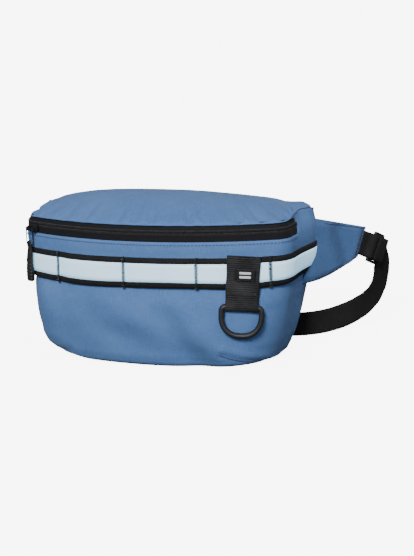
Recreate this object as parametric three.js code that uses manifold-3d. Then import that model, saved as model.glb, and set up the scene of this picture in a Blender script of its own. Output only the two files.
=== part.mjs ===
// Waist pack (hip bag) with a zipped top mouth, a reflective band, a webbing tab with a D-ring,
// two padded wings and a two-part webbing belt with a side-release buckle.
// Millimetres. +X is to the right seen from the front, the front faces -Y, +Z is up.
// The origin is on the ground under the middle of the pack's flat base.
import * as THREE from 'three';
import { mergeVertices } from 'three/addons/utils/BufferGeometryUtils.js';
import Module from 'manifold-3d';

const wasm = await Module();
wasm.setup();

// ---------------------------------------------------------------- driving dimensions
const GAP = 0.3; // running and seam clearance between neighbouring solids
const FRONT_RADIUS = 310; // plan radius of the pack's curved front
const BACK_Y = 51; // plane of the back seam
const FABRIC = 1.6; // coated fabric with its lining
const RIM_Z = 128.2; // upper edge of the front panel, under the zip
const EAR_Z = 143.3; // upper edge of the side behind the zip's end
const EAR_RISE = 4; // how much that edge rises towards the back seam
const LID_EDGE_Z = 145.3; // lower edge of the top panel, over the zip
const LID_BACK_Z = 149.5; // top panel's back edge at its two ends
const LID_CROWN = 12; // how much higher that edge is in the middle
const LID_BULGE = 5; // swell of the top panel between zip and back seam
const LID_HALF = 143;

// half length, front and corner radius of the body at each height
const LEVELS = [
  { z: 0, half: 98, front: -30, corner: 45 },
  { z: 4, half: 107, front: -38, corner: 45 },
  { z: 12, half: 114, front: -44, corner: 44 },
  { z: 24, half: 121.5, front: -49, corner: 43 },
  { z: 45, half: 128, front: -53.5, corner: 42 },
  { z: 66, half: 133.5, front: -55.5, corner: 38 },
  { z: 84, half: 138, front: -56, corner: 34 },
  { z: 98, half: 140.3, front: -55, corner: 30 },
  { z: 113, half: 142, front: -54, corner: 24 },
  { z: RIM_Z, half: 142.6, front: -53, corner: 18 },
  { z: LID_EDGE_Z, half: 138.6, front: -50.9, corner: 17 },
  { z: 150, half: 138.6, front: -50.9, corner: 17 },
];

const ZIP_END = 0.25; // share of the straight side that the zip runs along
const TAPE_BOTTOM = 128.7;
const TAPE_TOP = 143.2;
const TAPE = 0.9;
const COIL_HEIGHT = 2.1;
const COIL_DEPTH = 1.9;
const COIL_LOW_Z = 133.9; // lower coil's lower edge
const COIL_HIGH_Z = 137.4; // upper coil's lower edge

const BAND_BOTTOM = 83.4;
const BAND_TOP = 113;
const BAND = 1.3;
const STRIPE_INSET = 5.6; // webbing left bare above and below the stripe
const STRIPE = 0.3;
const BARTACK_ARCS = [-171, -94.5, -15.5, 59, 130]; // along the front from its middle

const TAB_ARC = 103.6;
const TAB_LEAN = THREE.MathUtils.degToRad(5); // its top leans to the right
const TAB_LEAN_Z = 90; // height it leans about
const TAB_WIDTH = 32;
const TAB_TOP = 115.5;
const RING_BAR_Z = 65.5;
const RING_WIRE = 6;
const RING_OUTER = 44.5;

const WING_ROOT = new THREE.Vector2(146.3, 51);
const WING_ANGLE = THREE.MathUtils.degToRad(53.8); // folded back from the X axis
const WING_THICK = 5;
const WEBBING = 25; // belt webbing width
const WEB = 1.4; // belt webbing thickness
const LOCK_BAR_X = 67; // lock's end bar along the wing
const LOCK_BAR_Z = 96.5;
const LOCK_DROOP = THREE.MathUtils.degToRad(25); // the stub hangs below the wing's line
const LOCK_FOLD = THREE.MathUtils.degToRad(28); // the lock turns back about its end bar
const BUCKLE_Z = 17.3;
const BUCKLE_Y = 88;

// ---------------------------------------------------------------- helpers
const group = new THREE.Group();

/** Adds one named mesh to a parent and returns it. */
function add(name, geometry, color, roughness, parent = group, metalness = 0) {
  const material = new THREE.MeshStandardMaterial({ color, roughness, metalness });
  const mesh = new THREE.Mesh(geometry, material);
  mesh.name = name;
  parent.add(mesh);
  return mesh;
}

/** Closed indexed geometry from points and triangles, with flat triangles dropped. */
function closed(points, triangles) {
  const geometry = new THREE.BufferGeometry();
  const flat = points.flatMap((p) => [p.x, p.y, p.z]);
  geometry.setAttribute('position', new THREE.Float32BufferAttribute(flat, 3));
  geometry.setIndex(triangles);
  const merged = mergeVertices(geometry, 1e-3);
  const index = merged.index.array;
  const kept = [];
  for (let i = 0; i < index.length; i += 3) {
    const [a, b, c] = [index[i], index[i + 1], index[i + 2]];
    if (a !== b && b !== c && a !== c) kept.push(a, b, c);
  }
  merged.setIndex(kept);
  merged.computeVertexNormals();
  return merged;
}

/** Closed slab between two grids of points; rows run left to right, first row lowest, outer faces out. */
function slab(outer, inner) {
  const rows = outer.length;
  const columns = outer[0].length;
  const points = [...outer.flat(), ...inner.flat()];
  const at = (side, r, c) => side * rows * columns + r * columns + c;
  const triangles = [];
  const quad = (a, b, c, d) => triangles.push(a, b, c, a, c, d);
  for (let r = 0; r + 1 < rows; r += 1) {
    for (let c = 0; c + 1 < columns; c += 1) {
      quad(at(0, r, c), at(0, r, c + 1), at(0, r + 1, c + 1), at(0, r + 1, c));
      quad(at(1, r, c), at(1, r + 1, c), at(1, r + 1, c + 1), at(1, r, c + 1));
    }
  }
  const last = rows - 1;
  for (let c = 0; c + 1 < columns; c += 1) {
    quad(at(0, 0, c), at(1, 0, c), at(1, 0, c + 1), at(0, 0, c + 1));
    quad(at(0, last, c), at(0, last, c + 1), at(1, last, c + 1), at(1, last, c));
  }
  const end = columns - 1;
  for (let r = 0; r + 1 < rows; r += 1) {
    quad(at(0, r, 0), at(0, r + 1, 0), at(1, r + 1, 0), at(1, r, 0));
    quad(at(0, r, end), at(1, r, end), at(1, r + 1, end), at(0, r + 1, end));
  }
  return closed(points, triangles);
}

/** Geometry to a manifold solid. */
function toSolid(geometry) {
  const bare = geometry.clone();
  bare.deleteAttribute('normal');
  bare.deleteAttribute('uv');
  const merged = mergeVertices(bare, 1e-4);
  return new wasm.Manifold(new wasm.Mesh({
    numProp: 3,
    vertProperties: new Float32Array(merged.attributes.position.array),
    triVerts: new Uint32Array(merged.index.array),
  }));
}

/** Manifold solid back to a geometry. */
function toGeometry(solid) {
  const mesh = solid.getMesh();
  const geometry = new THREE.BufferGeometry();
  geometry.setAttribute('position', new THREE.Float32BufferAttribute(mesh.vertProperties, 3));
  geometry.setIndex(Array.from(mesh.triVerts));
  geometry.computeVertexNormals();
  return geometry;
}

/** Joins the first list of geometries and cuts the second from them. */
function shaped(joined, removed = []) {
  let solid = toSolid(joined[0]);
  joined.slice(1).forEach((g) => { solid = solid.add(toSolid(g)); });
  removed.forEach((g) => { solid = solid.subtract(toSolid(g)); });
  return toGeometry(solid);
}

/** Box between two corners. */
function box(x0, x1, y0, y1, z0, z1) {
  const geometry = new THREE.BoxGeometry(x1 - x0, y1 - y0, z1 - z0);
  return geometry.translate((x0 + x1) / 2, (y0 + y1) / 2, (z0 + z1) / 2);
}

/** Cylinder along X, centred on (y, z). */
function rod(radius, length, y, z, sides = 20) {
  const geometry = new THREE.CylinderGeometry(radius, radius, length, sides);
  return geometry.rotateZ(Math.PI / 2).translate(0, y, z);
}

/** Flat plate: a shape drawn in X and Z, with its thickness along Y from y0 to y1. */
function plate(shape, y0, y1) {
  const geometry = new THREE.ExtrudeGeometry(shape, { depth: y1 - y0, bevelEnabled: false, curveSegments: 6 });
  return geometry.rotateX(Math.PI / 2).translate(0, y1, 0);
}

/** Rectangle with rounded corners, as a shape or a hole. */
function roundedRect(x0, x1, z0, z1, r, Kind = THREE.Shape) {
  const path = new Kind();
  path.moveTo(x0 + r, z0);
  path.lineTo(x1 - r, z0);
  path.absarc(x1 - r, z0 + r, r, -Math.PI / 2, 0);
  path.lineTo(x1, z1 - r);
  path.absarc(x1 - r, z1 - r, r, 0, Math.PI / 2);
  path.lineTo(x0 + r, z1);
  path.absarc(x0 + r, z1 - r, r, Math.PI / 2, Math.PI);
  path.lineTo(x0, z0 + r);
  path.absarc(x0 + r, z0 + r, r, Math.PI, 1.5 * Math.PI);
  return path;
}

/** Round wire bent along a closed loop of points that lies in one plane with the given normal. */
function wireLoop(points, radius, normal, sides = 10) {
  const ring = points.map((p, i) => {
    const before = points[(i + points.length - 1) % points.length];
    const after = points[(i + 1) % points.length];
    const side = new THREE.Vector3().subVectors(after, before).normalize().cross(normal);
    return Array.from({ length: sides }, (_, k) => {
      const a = (2 * Math.PI * k) / sides;
      return p.clone().addScaledVector(side, radius * Math.cos(a)).addScaledVector(normal, radius * Math.sin(a));
    });
  });
  const triangles = [];
  ring.forEach((_, i) => {
    for (let k = 0; k < sides; k += 1) {
      const j = (i + 1) % ring.length;
      const m = (k + 1) % sides;
      const [a, b, c, d] = [i * sides + k, i * sides + m, j * sides + m, j * sides + k];
      triangles.push(a, c, b, a, d, c);
    }
  });
  return closed(ring.flat(), triangles);
}

/** The body's size at a height, between its levels. */
function levelAt(z) {
  const k = Math.max(1, LEVELS.findIndex((level) => level.z >= z));
  const [low, high] = [LEVELS[k - 1], LEVELS[k]];
  const t = (z - low.z) / (high.z - low.z);
  const mix = (key) => THREE.MathUtils.lerp(low[key], high[key], t);
  return { half: mix('half'), front: mix('front'), corner: mix('corner') };
}

const FULL_SIDE = [0, ZIP_END, ZIP_END + 0.03, 0.6, 1];
const ZIP_SIDE = [0, 0.12, ZIP_END - 0.01];

/** Plan outline at a height: left back, round the front, to right back. out moves it outwards. */
function ring(z, out = 0, sideShares = FULL_SIDE) {
  const { half, front, corner } = levelAt(z);
  const turn = Math.asin((half - corner) / (FRONT_RADIUS - corner));
  const centreY = front + FRONT_RADIUS;
  const cornerX = half - corner;
  const cornerY = centreY - (FRONT_RADIUS - corner) * Math.cos(turn);
  const right = [];
  for (let i = 0; i <= 9; i += 1) {
    const a = (turn * i) / 9;
    right.push([(FRONT_RADIUS + out) * Math.sin(a), centreY - (FRONT_RADIUS + out) * Math.cos(a)]);
  }
  for (let i = 1; i <= 6; i += 1) {
    const a = turn + ((Math.PI / 2 - turn) * i) / 6;
    right.push([cornerX + (corner + out) * Math.sin(a), cornerY - (corner + out) * Math.cos(a)]);
  }
  sideShares.slice(1).forEach((f) => right.push([half + out, cornerY + f * (BACK_Y - cornerY)]));
  const left = right.slice(1).reverse().map(([x, y]) => [-x, y]);
  return [...left, ...right].map(([x, y]) => new THREE.Vector3(x, y, z));
}

/** Strip that follows the body between two heights, from inner to outer offset. */
function strip(z0, z1, inner, outer, sideShares = FULL_SIDE, steps = 1) {
  const heights = Array.from({ length: steps + 1 }, (_, i) => z0 + ((z1 - z0) * i) / steps);
  return slab(
    heights.map((z) => ring(z, outer, sideShares)),
    heights.map((z) => ring(z, inner, sideShares)),
  );
}

/** Group whose X runs along the body's front at an arc position, and whose -Y faces outwards. */
function onFront(arc, z) {
  const { front } = levelAt(z);
  const a = arc / FRONT_RADIUS;
  const place = new THREE.Group();
  place.position.set(FRONT_RADIUS * Math.sin(a), front + FRONT_RADIUS * (1 - Math.cos(a)), 0);
  place.rotation.z = a;
  group.add(place);
  return place;
}

const BLUE = 0x5b83b3;
const BLACK = 0x18181b;
const SILVER = 0xc9d6e4;

// ---------------------------------------------------------------- body shell
/** Height of the side's upper edge at a plan position behind the zip's end. */
function earZ(y) {
  return EAR_Z + (EAR_RISE * Math.max(0, y)) / BACK_Y;
}

/** Front, sides and base in one sewn piece: open on top and at the back. */
function frontPanel() {
  const wall = (out, floor) => {
    const rows = LEVELS.filter((level) => level.z <= RIM_Z).map((level) => {
      const row = ring(level.z, out);
      row.forEach((p) => { p.z = Math.max(p.z, floor); });
      return row;
    });
    const top = ring(LID_EDGE_Z, out);
    const rim = rows[rows.length - 1];
    const ears = rim.map((p, i) => (p.y > 8.5 ? new THREE.Vector3(top[i].x, p.y, earZ(p.y)) : p.clone()));
    const base = [1, 0.66, 0.33].map((t) => rows[0].map((p, i) => {
      const across = THREE.MathUtils.lerp(rows[0][0].x, rows[0][rows[0].length - 1].x, i / (rows[0].length - 1));
      return new THREE.Vector3(
        THREE.MathUtils.lerp(p.x, across, t),
        THREE.MathUtils.lerp(p.y, BACK_Y, t),
        floor,
      );
    }));
    return [...base, ...rows, ears];
  };
  return slab(wall(0, 0), wall(-FABRIC, FABRIC));
}
add('front_panel', frontPanel(), BLUE, 0.8);

/** Outline of the flat back, inset all round. */
function backShape(inset) {
  const rightSide = LEVELS.filter((level) => level.z > 0 && level.z <= RIM_Z);
  const shape = new THREE.Shape();
  shape.moveTo(-98 + inset, 1 + inset);
  shape.lineTo(98 - inset, 1 + inset);
  rightSide.forEach((level) => shape.lineTo(level.half - inset, level.z + inset));
  shape.lineTo(140 - inset, LID_BACK_Z - 2 - inset);
  for (let i = 1; i < 12; i += 1) {
    const x = 140 - (280 * i) / 12;
    shape.lineTo(x * (1 - inset / 140), LID_BACK_Z + LID_CROWN * (1 - (x / LID_HALF) ** 2) - 1 - inset);
  }
  shape.lineTo(-140 + inset, LID_BACK_Z - 2 - inset);
  rightSide.reverse().forEach((level) => shape.lineTo(-level.half + inset, level.z + inset));
  return shape;
}
add('back_lining', plate(backShape(2), BACK_Y + 0.4, BACK_Y + 1.2), 0x2a2c30, 0.9);
add('back_foam', plate(backShape(6), BACK_Y + 1.5, BACK_Y + 6.5), 0x3a3a3c, 0.95);
add('back_panel', plate(backShape(0), BACK_Y + 6.8, BACK_Y + 8.4), 0x1d1e21, 0.9);

// ---------------------------------------------------------------- top panel and zip
/** Domed top panel between the zip's upper edge and the back top seam. */
function topPanel() {
  const edge = ring(LID_EDGE_Z, 0);
  const rowAt = (t, drop) => edge.map((p, i) => {
    const across = THREE.MathUtils.lerp(-LID_HALF + 4, LID_HALF - 4, i / (edge.length - 1));
    const x = THREE.MathUtils.lerp(p.x, across, t);
    const y = THREE.MathUtils.lerp(p.y, BACK_Y - 0.4, t);
    const low = p.y > 8.5 ? earZ(p.y) + 2.1 : LID_EDGE_Z;
    const high = LID_BACK_Z + LID_CROWN * (1 - (x / LID_HALF) ** 2);
    const rise = (high - low) * Math.sin((Math.PI / 2) * t);
    const bulge = LID_BULGE * Math.sin(Math.PI * t) * (1 - (x / LID_HALF) ** 2);
    return new THREE.Vector3(x, y, low + rise + bulge - drop);
  });
  const shares = [0, 0.08, 0.2, 0.35, 0.52, 0.7, 0.86, 1];
  return slab(shares.map((t) => rowAt(t, 0)), shares.map((t) => rowAt(t, FABRIC)));
}
add('top_panel', topPanel(), BLUE, 0.8);

add('zip_tape_lower', strip(TAPE_BOTTOM, COIL_LOW_Z - GAP, -TAPE / 2, TAPE / 2, ZIP_SIDE), BLACK, 0.85);
add('zip_coil_lower', strip(COIL_LOW_Z, COIL_LOW_Z + COIL_HEIGHT, TAPE / 2 - COIL_DEPTH, TAPE / 2, ZIP_SIDE), BLACK, 0.5);
add('zip_coil_upper', strip(COIL_HIGH_Z, COIL_HIGH_Z + COIL_HEIGHT, TAPE / 2 - COIL_DEPTH, TAPE / 2, ZIP_SIDE), BLACK, 0.5);
add('zip_tape_upper', strip(COIL_HIGH_Z + COIL_HEIGHT + GAP, TAPE_TOP, -TAPE / 2, TAPE / 2, ZIP_SIDE), BLACK, 0.85);

// ---------------------------------------------------------------- zip slider and pull
const ZIP_CENTRE_Y = levelAt(COIL_LOW_Z + COIL_HEIGHT).front + FRONT_RADIUS;
const SLIDER_ARC = -129.5; // parked near the zip's left end

/** Group that stands on the zip's arc at the slider's place. */
function atSlider() {
  const a = SLIDER_ARC / FRONT_RADIUS;
  const place = new THREE.Group();
  place.position.set(FRONT_RADIUS * Math.sin(a), ZIP_CENTRE_Y - FRONT_RADIUS * Math.cos(a), 0);
  place.rotation.z = a;
  group.add(place);
  return place;
}

const PIVOT_Y = -8.2; // bar that the pull hangs from
const PIVOT_Z = 132.8;

/** Two plates joined by the wedge between the coils, with the bar that holds the pull. */
function slider() {
  const wedgeLow = COIL_LOW_Z + COIL_HEIGHT + GAP;
  const wedgeHigh = COIL_HIGH_Z - GAP;
  return shaped([
    box(-6.5, 6.5, -3.4, -1.9, 130, wedgeHigh),
    box(-6.5, 6.5, 2.1, 3.5, 130, wedgeHigh),
    box(-2.5, 2.5, -3, 3, wedgeLow, wedgeHigh),
    box(-5, -3.7, PIVOT_Y - 0.8, -3, 130.8, PIVOT_Z + 1.9),
    box(3.7, 5, PIVOT_Y - 0.8, -3, 130.8, PIVOT_Z + 1.9),
    rod(0.75, 9, PIVOT_Y, PIVOT_Z, 12),
  ]);
}
add('zip_slider', slider(), 0x101012, 0.35, atSlider(), 0.6);

const LOOP_RADIUS = 3.8;
const LOOP_BOTTOM_Z = 119;

/** Wire loop hanging round the slider's bar. */
function pullLoop() {
  const arc = (z, from) => Array.from({ length: 9 }, (_, i) => {
    const a = from + (Math.PI * i) / 8;
    return new THREE.Vector3(0, PIVOT_Y + LOOP_RADIUS * Math.cos(a), z + LOOP_RADIUS * Math.sin(a));
  });
  return wireLoop([...arc(PIVOT_Z, 0), ...arc(LOOP_BOTTOM_Z, Math.PI)], 0.6, new THREE.Vector3(1, 0, 0), 8);
}
add('pull_loop', pullLoop(), 0x77787c, 0.4, atSlider(), 0.8);

/** Moulded grip: a thin eye on the loop over a thick tapering handle. */
function pullGrip() {
  const outline = new THREE.Shape();
  outline.moveTo(-2.6, 76.5);
  outline.lineTo(2.6, 76.5);
  outline.lineTo(4.1, 82);
  outline.lineTo(4.4, 89);
  outline.lineTo(3.6, 96);
  outline.lineTo(3.2, 111);
  outline.lineTo(-3.2, 111);
  outline.lineTo(-3.6, 96);
  outline.lineTo(-4.4, 89);
  outline.lineTo(-4.1, 82);
  const eye = plate(roundedRect(-3.1, 3.1, 110, 121.5, 2.4), -9.6, -7.4);
  const hole = plate(roundedRect(-1.3, 1.3, 113, 117.8, 1.2), -12, -4);
  return shaped([plate(outline, -12.6, -6.6), eye], [hole]);
}
add('pull_grip', pullGrip(), 0x1b1b1d, 0.55, atSlider());

// ---------------------------------------------------------------- reflective band and bartacks
add('band_webbing', strip(BAND_BOTTOM, BAND_TOP, GAP, GAP + BAND, FULL_SIDE, 3), BLACK, 0.85);
const STRIPE_IN = GAP + BAND + 0.2;
add(
  'reflective_stripe',
  strip(BAND_BOTTOM + STRIPE_INSET, BAND_TOP - STRIPE_INSET, STRIPE_IN, STRIPE_IN + STRIPE, FULL_SIDE, 3),
  SILVER,
  0.3,
);

/** Point on the body's outline at a height, an arc length from the front's middle, moved outwards. */
function outlineAt(z, arc, out) {
  const points = ring(z);
  const step = Math.sign(arc);
  let left = Math.abs(arc);
  let i = (points.length - 1) / 2;
  while (left > points[i].distanceTo(points[i + step])) {
    left -= points[i].distanceTo(points[i + step]);
    i += step;
  }
  const along = new THREE.Vector3().subVectors(points[i + step], points[i]).normalize();
  const outwards = new THREE.Vector3(along.y * step, -along.x * step, 0);
  return points[i].clone().addScaledVector(along, left).addScaledVector(outwards, out);
}

/** Small patch on the body between two arc lengths and two heights. */
function patch(arcs, heights, inner, outer) {
  const grid = (out) => heights.map((z) => arcs.map((arc) => outlineAt(z, arc, out)));
  return slab(grid(outer), grid(inner));
}

const TACK_HEIGHTS = [0, 1, 2, 3].map((i) => THREE.MathUtils.lerp(BAND_BOTTOM, BAND_TOP, i / 3));
const TACK_IN = STRIPE_IN + STRIPE + 0.2;
BARTACK_ARCS.forEach((arc, i) => {
  add(`bartack_${i + 1}`, patch([arc - 1, arc + 1], TACK_HEIGHTS, TACK_IN, TACK_IN + 0.8), 0x101012, 0.9);
});

// ---------------------------------------------------------------- tab, label and D-ring
const TAB_IN = -3.4;
const TAB_THICK = 2.8;
const BAR_Y = TAB_IN - TAB_THICK;

/** Group on the front in which the leaning tab and its ring stand upright. */
function onTab() {
  const place = new THREE.Group();
  place.position.set(-TAB_LEAN_Z * Math.sin(TAB_LEAN), 0, TAB_LEAN_Z * (1 - Math.cos(TAB_LEAN)));
  place.rotation.y = TAB_LEAN;
  onFront(TAB_ARC, 98).add(place);
  return place;
}

/** Webbing folded round the D-ring's bar, its two layers sewn together over the band. */
function tab() {
  const layers = box(-TAB_WIDTH / 2, TAB_WIDTH / 2, TAB_IN - TAB_THICK, TAB_IN, RING_BAR_Z + 2, TAB_TOP);
  const fold = rod(RING_WIRE / 2 + GAP + WEB, TAB_WIDTH, BAR_Y, RING_BAR_Z, 24);
  return shaped([layers, fold], [rod(RING_WIRE / 2 + GAP, TAB_WIDTH + 2, BAR_Y, RING_BAR_Z, 24)]);
}
add('tab_webbing', tab(), BLACK, 0.85, onTab());

add(
  'tab_label',
  plate(roundedRect(-8, 12, 91, 103.5, 1), TAB_IN - TAB_THICK - 1.1, TAB_IN - TAB_THICK - GAP),
  0x0c0c0e,
  0.6,
  onTab(),
);

/** D-shaped ring: a straight bar through the tab and a bow below it. */
function dRing() {
  const half = (RING_OUTER - RING_WIRE) / 2;
  const points = [];
  for (let i = 0; i <= 6; i += 1) points.push(new THREE.Vector3(-half + 4 + ((2 * half - 8) * i) / 6, BAR_Y, RING_BAR_Z));
  for (let i = 1; i <= 4; i += 1) {
    const a = Math.PI / 2 - (Math.PI / 2 * i) / 4;
    points.push(new THREE.Vector3(half - 4 + 4 * Math.cos(a), BAR_Y, RING_BAR_Z - 4 + 4 * Math.sin(a)));
  }
  for (let i = 1; i < 14; i += 1) {
    const a = -(Math.PI * i) / 14;
    points.push(new THREE.Vector3(half * Math.cos(a), BAR_Y, RING_BAR_Z - 10.5 + 17.5 * Math.sin(a)));
  }
  for (let i = 0; i < 4; i += 1) {
    const a = Math.PI - (Math.PI / 2 * i) / 4;
    points.push(new THREE.Vector3(-half + 4 + 4 * Math.cos(a), BAR_Y, RING_BAR_Z - 4 + 4 * Math.sin(a)));
  }
  return wireLoop(points, RING_WIRE / 2, new THREE.Vector3(0, 1, 0), 12);
}
add('d_ring', dRing(), 0x1a1a1c, 0.6, onTab());

// ---------------------------------------------------------------- wings
/** Group whose X runs out along a wing from the back seam; side is 1 for right, -1 for left. */
function onWing(side) {
  const place = new THREE.Group();
  place.position.set(side * WING_ROOT.x, WING_ROOT.y, 0);
  place.rotation.z = side > 0 ? WING_ANGLE : Math.PI - WING_ANGLE;
  group.add(place);
  return place;
}

/** Padded wing, tapering from the seam to the belt. */
function wing() {
  const shape = new THREE.Shape();
  shape.moveTo(2.5, 70.5);
  shape.lineTo(2.5, 134.5);
  shape.lineTo(60.5, 118);
  shape.lineTo(49.5, 88);
  shape.quadraticCurveTo(47.5, 84.5, 42, 83.5);
  shape.lineTo(28, 80.5);
  shape.quadraticCurveTo(14, 74, 2.5, 70.5);
  return plate(shape, -WING_THICK / 2, WING_THICK / 2);
}
add('wing_right', wing(), BLUE, 0.8, onWing(1));
add('wing_left', wing(), BLUE, 0.8, onWing(-1));

// ---------------------------------------------------------------- ladder lock on the right wing
/** Group in the right wing's plane at the lock's end bar; its X runs along the drooping stub. */
function onStub() {
  const place = new THREE.Group();
  place.position.set(LOCK_BAR_X, 0, LOCK_BAR_Z);
  place.rotation.y = LOCK_DROOP;
  onWing(1).add(place);
  return place;
}

const LOCK_BAR = -10; // end bar from the lock's centre

/** Group whose X runs along the ladder lock, with the lock's centre at 0. */
function onLock() {
  const place = new THREE.Group();
  place.position.set(-LOCK_BAR * Math.cos(LOCK_FOLD), -LOCK_BAR * Math.sin(LOCK_FOLD), 0);
  place.rotation.z = LOCK_FOLD;
  onStub().add(place);
  return place;
}

/** Frame with an end bar for the stub, a middle bar and a gripping bar for the belt. */
function ladderLock() {
  const frame = roundedRect(-12, 11, -15.8, 15.8, 2.5);
  frame.holes.push(roundedRect(-8, -2, -13, 13, 0.5, THREE.Path));
  frame.holes.push(roundedRect(0.3, 7, -13, 13, 0.5, THREE.Path));
  return shaped([plate(frame, -1.2, 1.2), box(8.5, 11, 0, 3.6, -9, 9)]);
}
add('ladder_lock', ladderLock(), 0x141416, 0.45, onLock());

/** Block that fills a wing's side of the line through its tip, in the wing's own axes. */
function tipBlock() {
  const block = box(-60, 0, -8, 8, -60, 60);
  block.rotateY(Math.atan2(60.5 - 49.5, 118 - 88));
  return block.translate((60.5 + 49.5) / 2 + 0.6, 0, (118 + 88) / 2);
}

/** Short webbing from the wing's tip, folded round the lock's end bar. */
function stub() {
  const cylinder = (r, length) => new THREE.CylinderGeometry(r, r, length, 20).rotateX(Math.PI / 2);
  const layers = box(-26, -2.6, -1.3, 1.3, -WEBBING / 2, WEBBING / 2);
  const wingSide = tipBlock().translate(-LOCK_BAR_X, 0, -LOCK_BAR_Z).rotateY(-LOCK_DROOP);
  return shaped([layers, cylinder(4.2, WEBBING)], [cylinder(2.9, WEBBING + 2), wingSide]);
}
add('stub_right', stub(), BLACK, 0.85, onStub());

// ---------------------------------------------------------------- belt webbing
const UP = new THREE.Vector3(0, 0, 1);

/** Flat webbing along a list of [point, width direction]. */
function ribbon(stations, samples = 5) {
  const curve = new THREE.CatmullRomCurve3(stations.map(([p]) => p), false, 'centripetal');
  const count = (stations.length - 1) * samples;
  const corners = (across, through) => Array.from({ length: count + 1 }, (_, i) => {
    const t = i / count;
    const k = Math.min(Math.floor(i / samples), stations.length - 2);
    const tangent = curve.getTangent(t);
    const width = stations[k][1].clone().lerp(stations[k + 1][1], i / samples - k);
    width.addScaledVector(tangent, -width.dot(tangent)).normalize();
    const normal = new THREE.Vector3().crossVectors(tangent, width);
    return curve.getPoint(t)
      .addScaledVector(width, (across * WEBBING) / 2)
      .addScaledVector(normal, (through * WEB) / 2);
  });
  return slab([corners(-1, 1), corners(1, 1)], [corners(-1, -1), corners(1, -1)]);
}

/** Points given in a placed group's own axes, as stations of a ribbon in the pack's axes. */
function stationsIn(place, list, across = UP) {
  place.updateWorldMatrix(true, false);
  const width = across.clone().transformDirection(place.matrixWorld);
  return list.map(([x, y, z = 0]) => [new THREE.Vector3(x, y, z).applyMatrix4(place.matrixWorld), width]);
}

// The belt falls from the wing's tip, turns down on to its edge and runs in behind the pack.
const DOWN = new THREE.Vector3(0, 0, -1);
const BELT_FALL = [
  [new THREE.Vector3(186.8, 132.5, 80), new THREE.Vector3(0.34, 0.62, 0.7)],
  [new THREE.Vector3(185.4, 138.4, 69), new THREE.Vector3(0.42, 0.8, 0.42)],
  [new THREE.Vector3(183, 141.5, 57), new THREE.Vector3(0.42, 0.9, 0.12)],
  [new THREE.Vector3(179, 141.5, 45), new THREE.Vector3(0.36, 0.85, -0.38)],
  [new THREE.Vector3(172.5, 138.5, 34.5), new THREE.Vector3(0.26, 0.6, -0.76)],
  [new THREE.Vector3(162.5, 132, 25.8), new THREE.Vector3(0.1, 0.25, -0.96)],
  [new THREE.Vector3(147, 121, 18.4), DOWN],
  [new THREE.Vector3(130, 109.5, 14.4), DOWN],
  [new THREE.Vector3(113, 100, 13.2), DOWN],
  [new THREE.Vector3(96, 93, 13.6), DOWN],
  [new THREE.Vector3(78, 89.5, 15.4), DOWN],
];

/** Group on one half of the undone buckle; its X runs from the gap out to the belt. */
function onBuckle(side) {
  const place = new THREE.Group();
  place.position.set(0, BUCKLE_Y, BUCKLE_Z);
  place.rotation.z = side > 0 ? 0 : Math.PI;
  group.add(place);
  return place;
}

const BUCKLE_BAR = 43.7;
// the belt's end goes round the buckle's bar and back along itself
const BELT_END = [
  [60, 0.95],
  [53, 1.3],
  [48, 3],
  [BUCKLE_BAR, 3.8],
  [40.9, 2.5],
  [39.7, 0],
  [40.9, -2.5],
  [BUCKLE_BAR, -3.8],
  [48, -3],
  [53, -1.3],
  [60, -0.95],
  [72, -0.95],
];

// round the lock: the tail over the outside, under the middle bar, out past the gripping bar
const LOCK_THREADING = [
  [13, -5.3],
  [8, -5.3],
  [0, -5],
  [-2.8, -4.1],
  [-4.2, -1.8],
  [-4, 0.9],
  [-2.6, 2.8],
  [-0.6, 3.1],
  [1.4, 2.4],
  [3.2, 0.4],
  [4.8, -2],
  [7, -3.1],
  [11, -3.3],
];
add(
  'strap_right',
  ribbon([...stationsIn(onLock(), LOCK_THREADING), ...BELT_FALL, ...stationsIn(onBuckle(1), BELT_END, DOWN)]),
  BLACK,
  0.85,
);

/** Left belt half: sewn into the left wing's tip, then the right half's fall mirrored. */
function strapLeft() {
  const mirrored = BELT_FALL.map(([p, w]) => [
    new THREE.Vector3(-p.x, p.y, p.z),
    new THREE.Vector3(-w.x, w.y, w.z),
  ]);
  const wingSide = tipBlock();
  const place = onWing(-1);
  const start = stationsIn(place, [[50, 0, 106], [58, 0, 103], [66, 0, 99], [74, 0, 92]]);
  const turned = BELT_END.map(([x, y]) => [x, -y]);
  const strap = ribbon([...start, ...mirrored, ...stationsIn(onBuckle(-1), turned, DOWN)]);
  return shaped([strap], [wingSide.applyMatrix4(place.matrixWorld)]);
}
add('strap_left', strapLeft(), BLACK, 0.85);

// ---------------------------------------------------------------- side-release buckle, undone
const BUCKLE_HALF = 16.5;

/** Bar plate that both buckle halves end in. */
function barPlate(x0) {
  const shape = roundedRect(x0, 46, -BUCKLE_HALF, BUCKLE_HALF, 3);
  shape.holes.push(roundedRect(37.5, 41.5, -13, 13, 0.8, THREE.Path));
  return plate(shape, -1.6, 1.6);
}

/** Plug half without its two prongs: bar plate, shoulder and centre guide. */
function plug() {
  return shaped([barPlate(30), box(30, 36, -4.5, 4.5, -15, 15), box(12, 31, -2, 2, -1.6, 1.6)]);
}
add('buckle_plug', plug(), 0x151517, 0.45, onBuckle(1));

/** One springy prong with its locking barb; side is 1 for the upper, -1 for the lower. */
function prong(side) {
  const outline = new THREE.Shape();
  [[29.6, 7.6], [29.6, 11.6], [19.5, 12.2], [19.5, 14.6], [14, 14], [9, 10.6], [8, 8.6], [12, 8]]
    .forEach(([x, z], i) => (i ? outline.lineTo(x, side * z) : outline.moveTo(x, side * z)));
  return plate(outline, -2.4, 2.4);
}
add('prong_upper', prong(1), 0x151517, 0.45, onBuckle(1));
add('prong_lower', prong(-1), 0x151517, 0.45, onBuckle(1));

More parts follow.
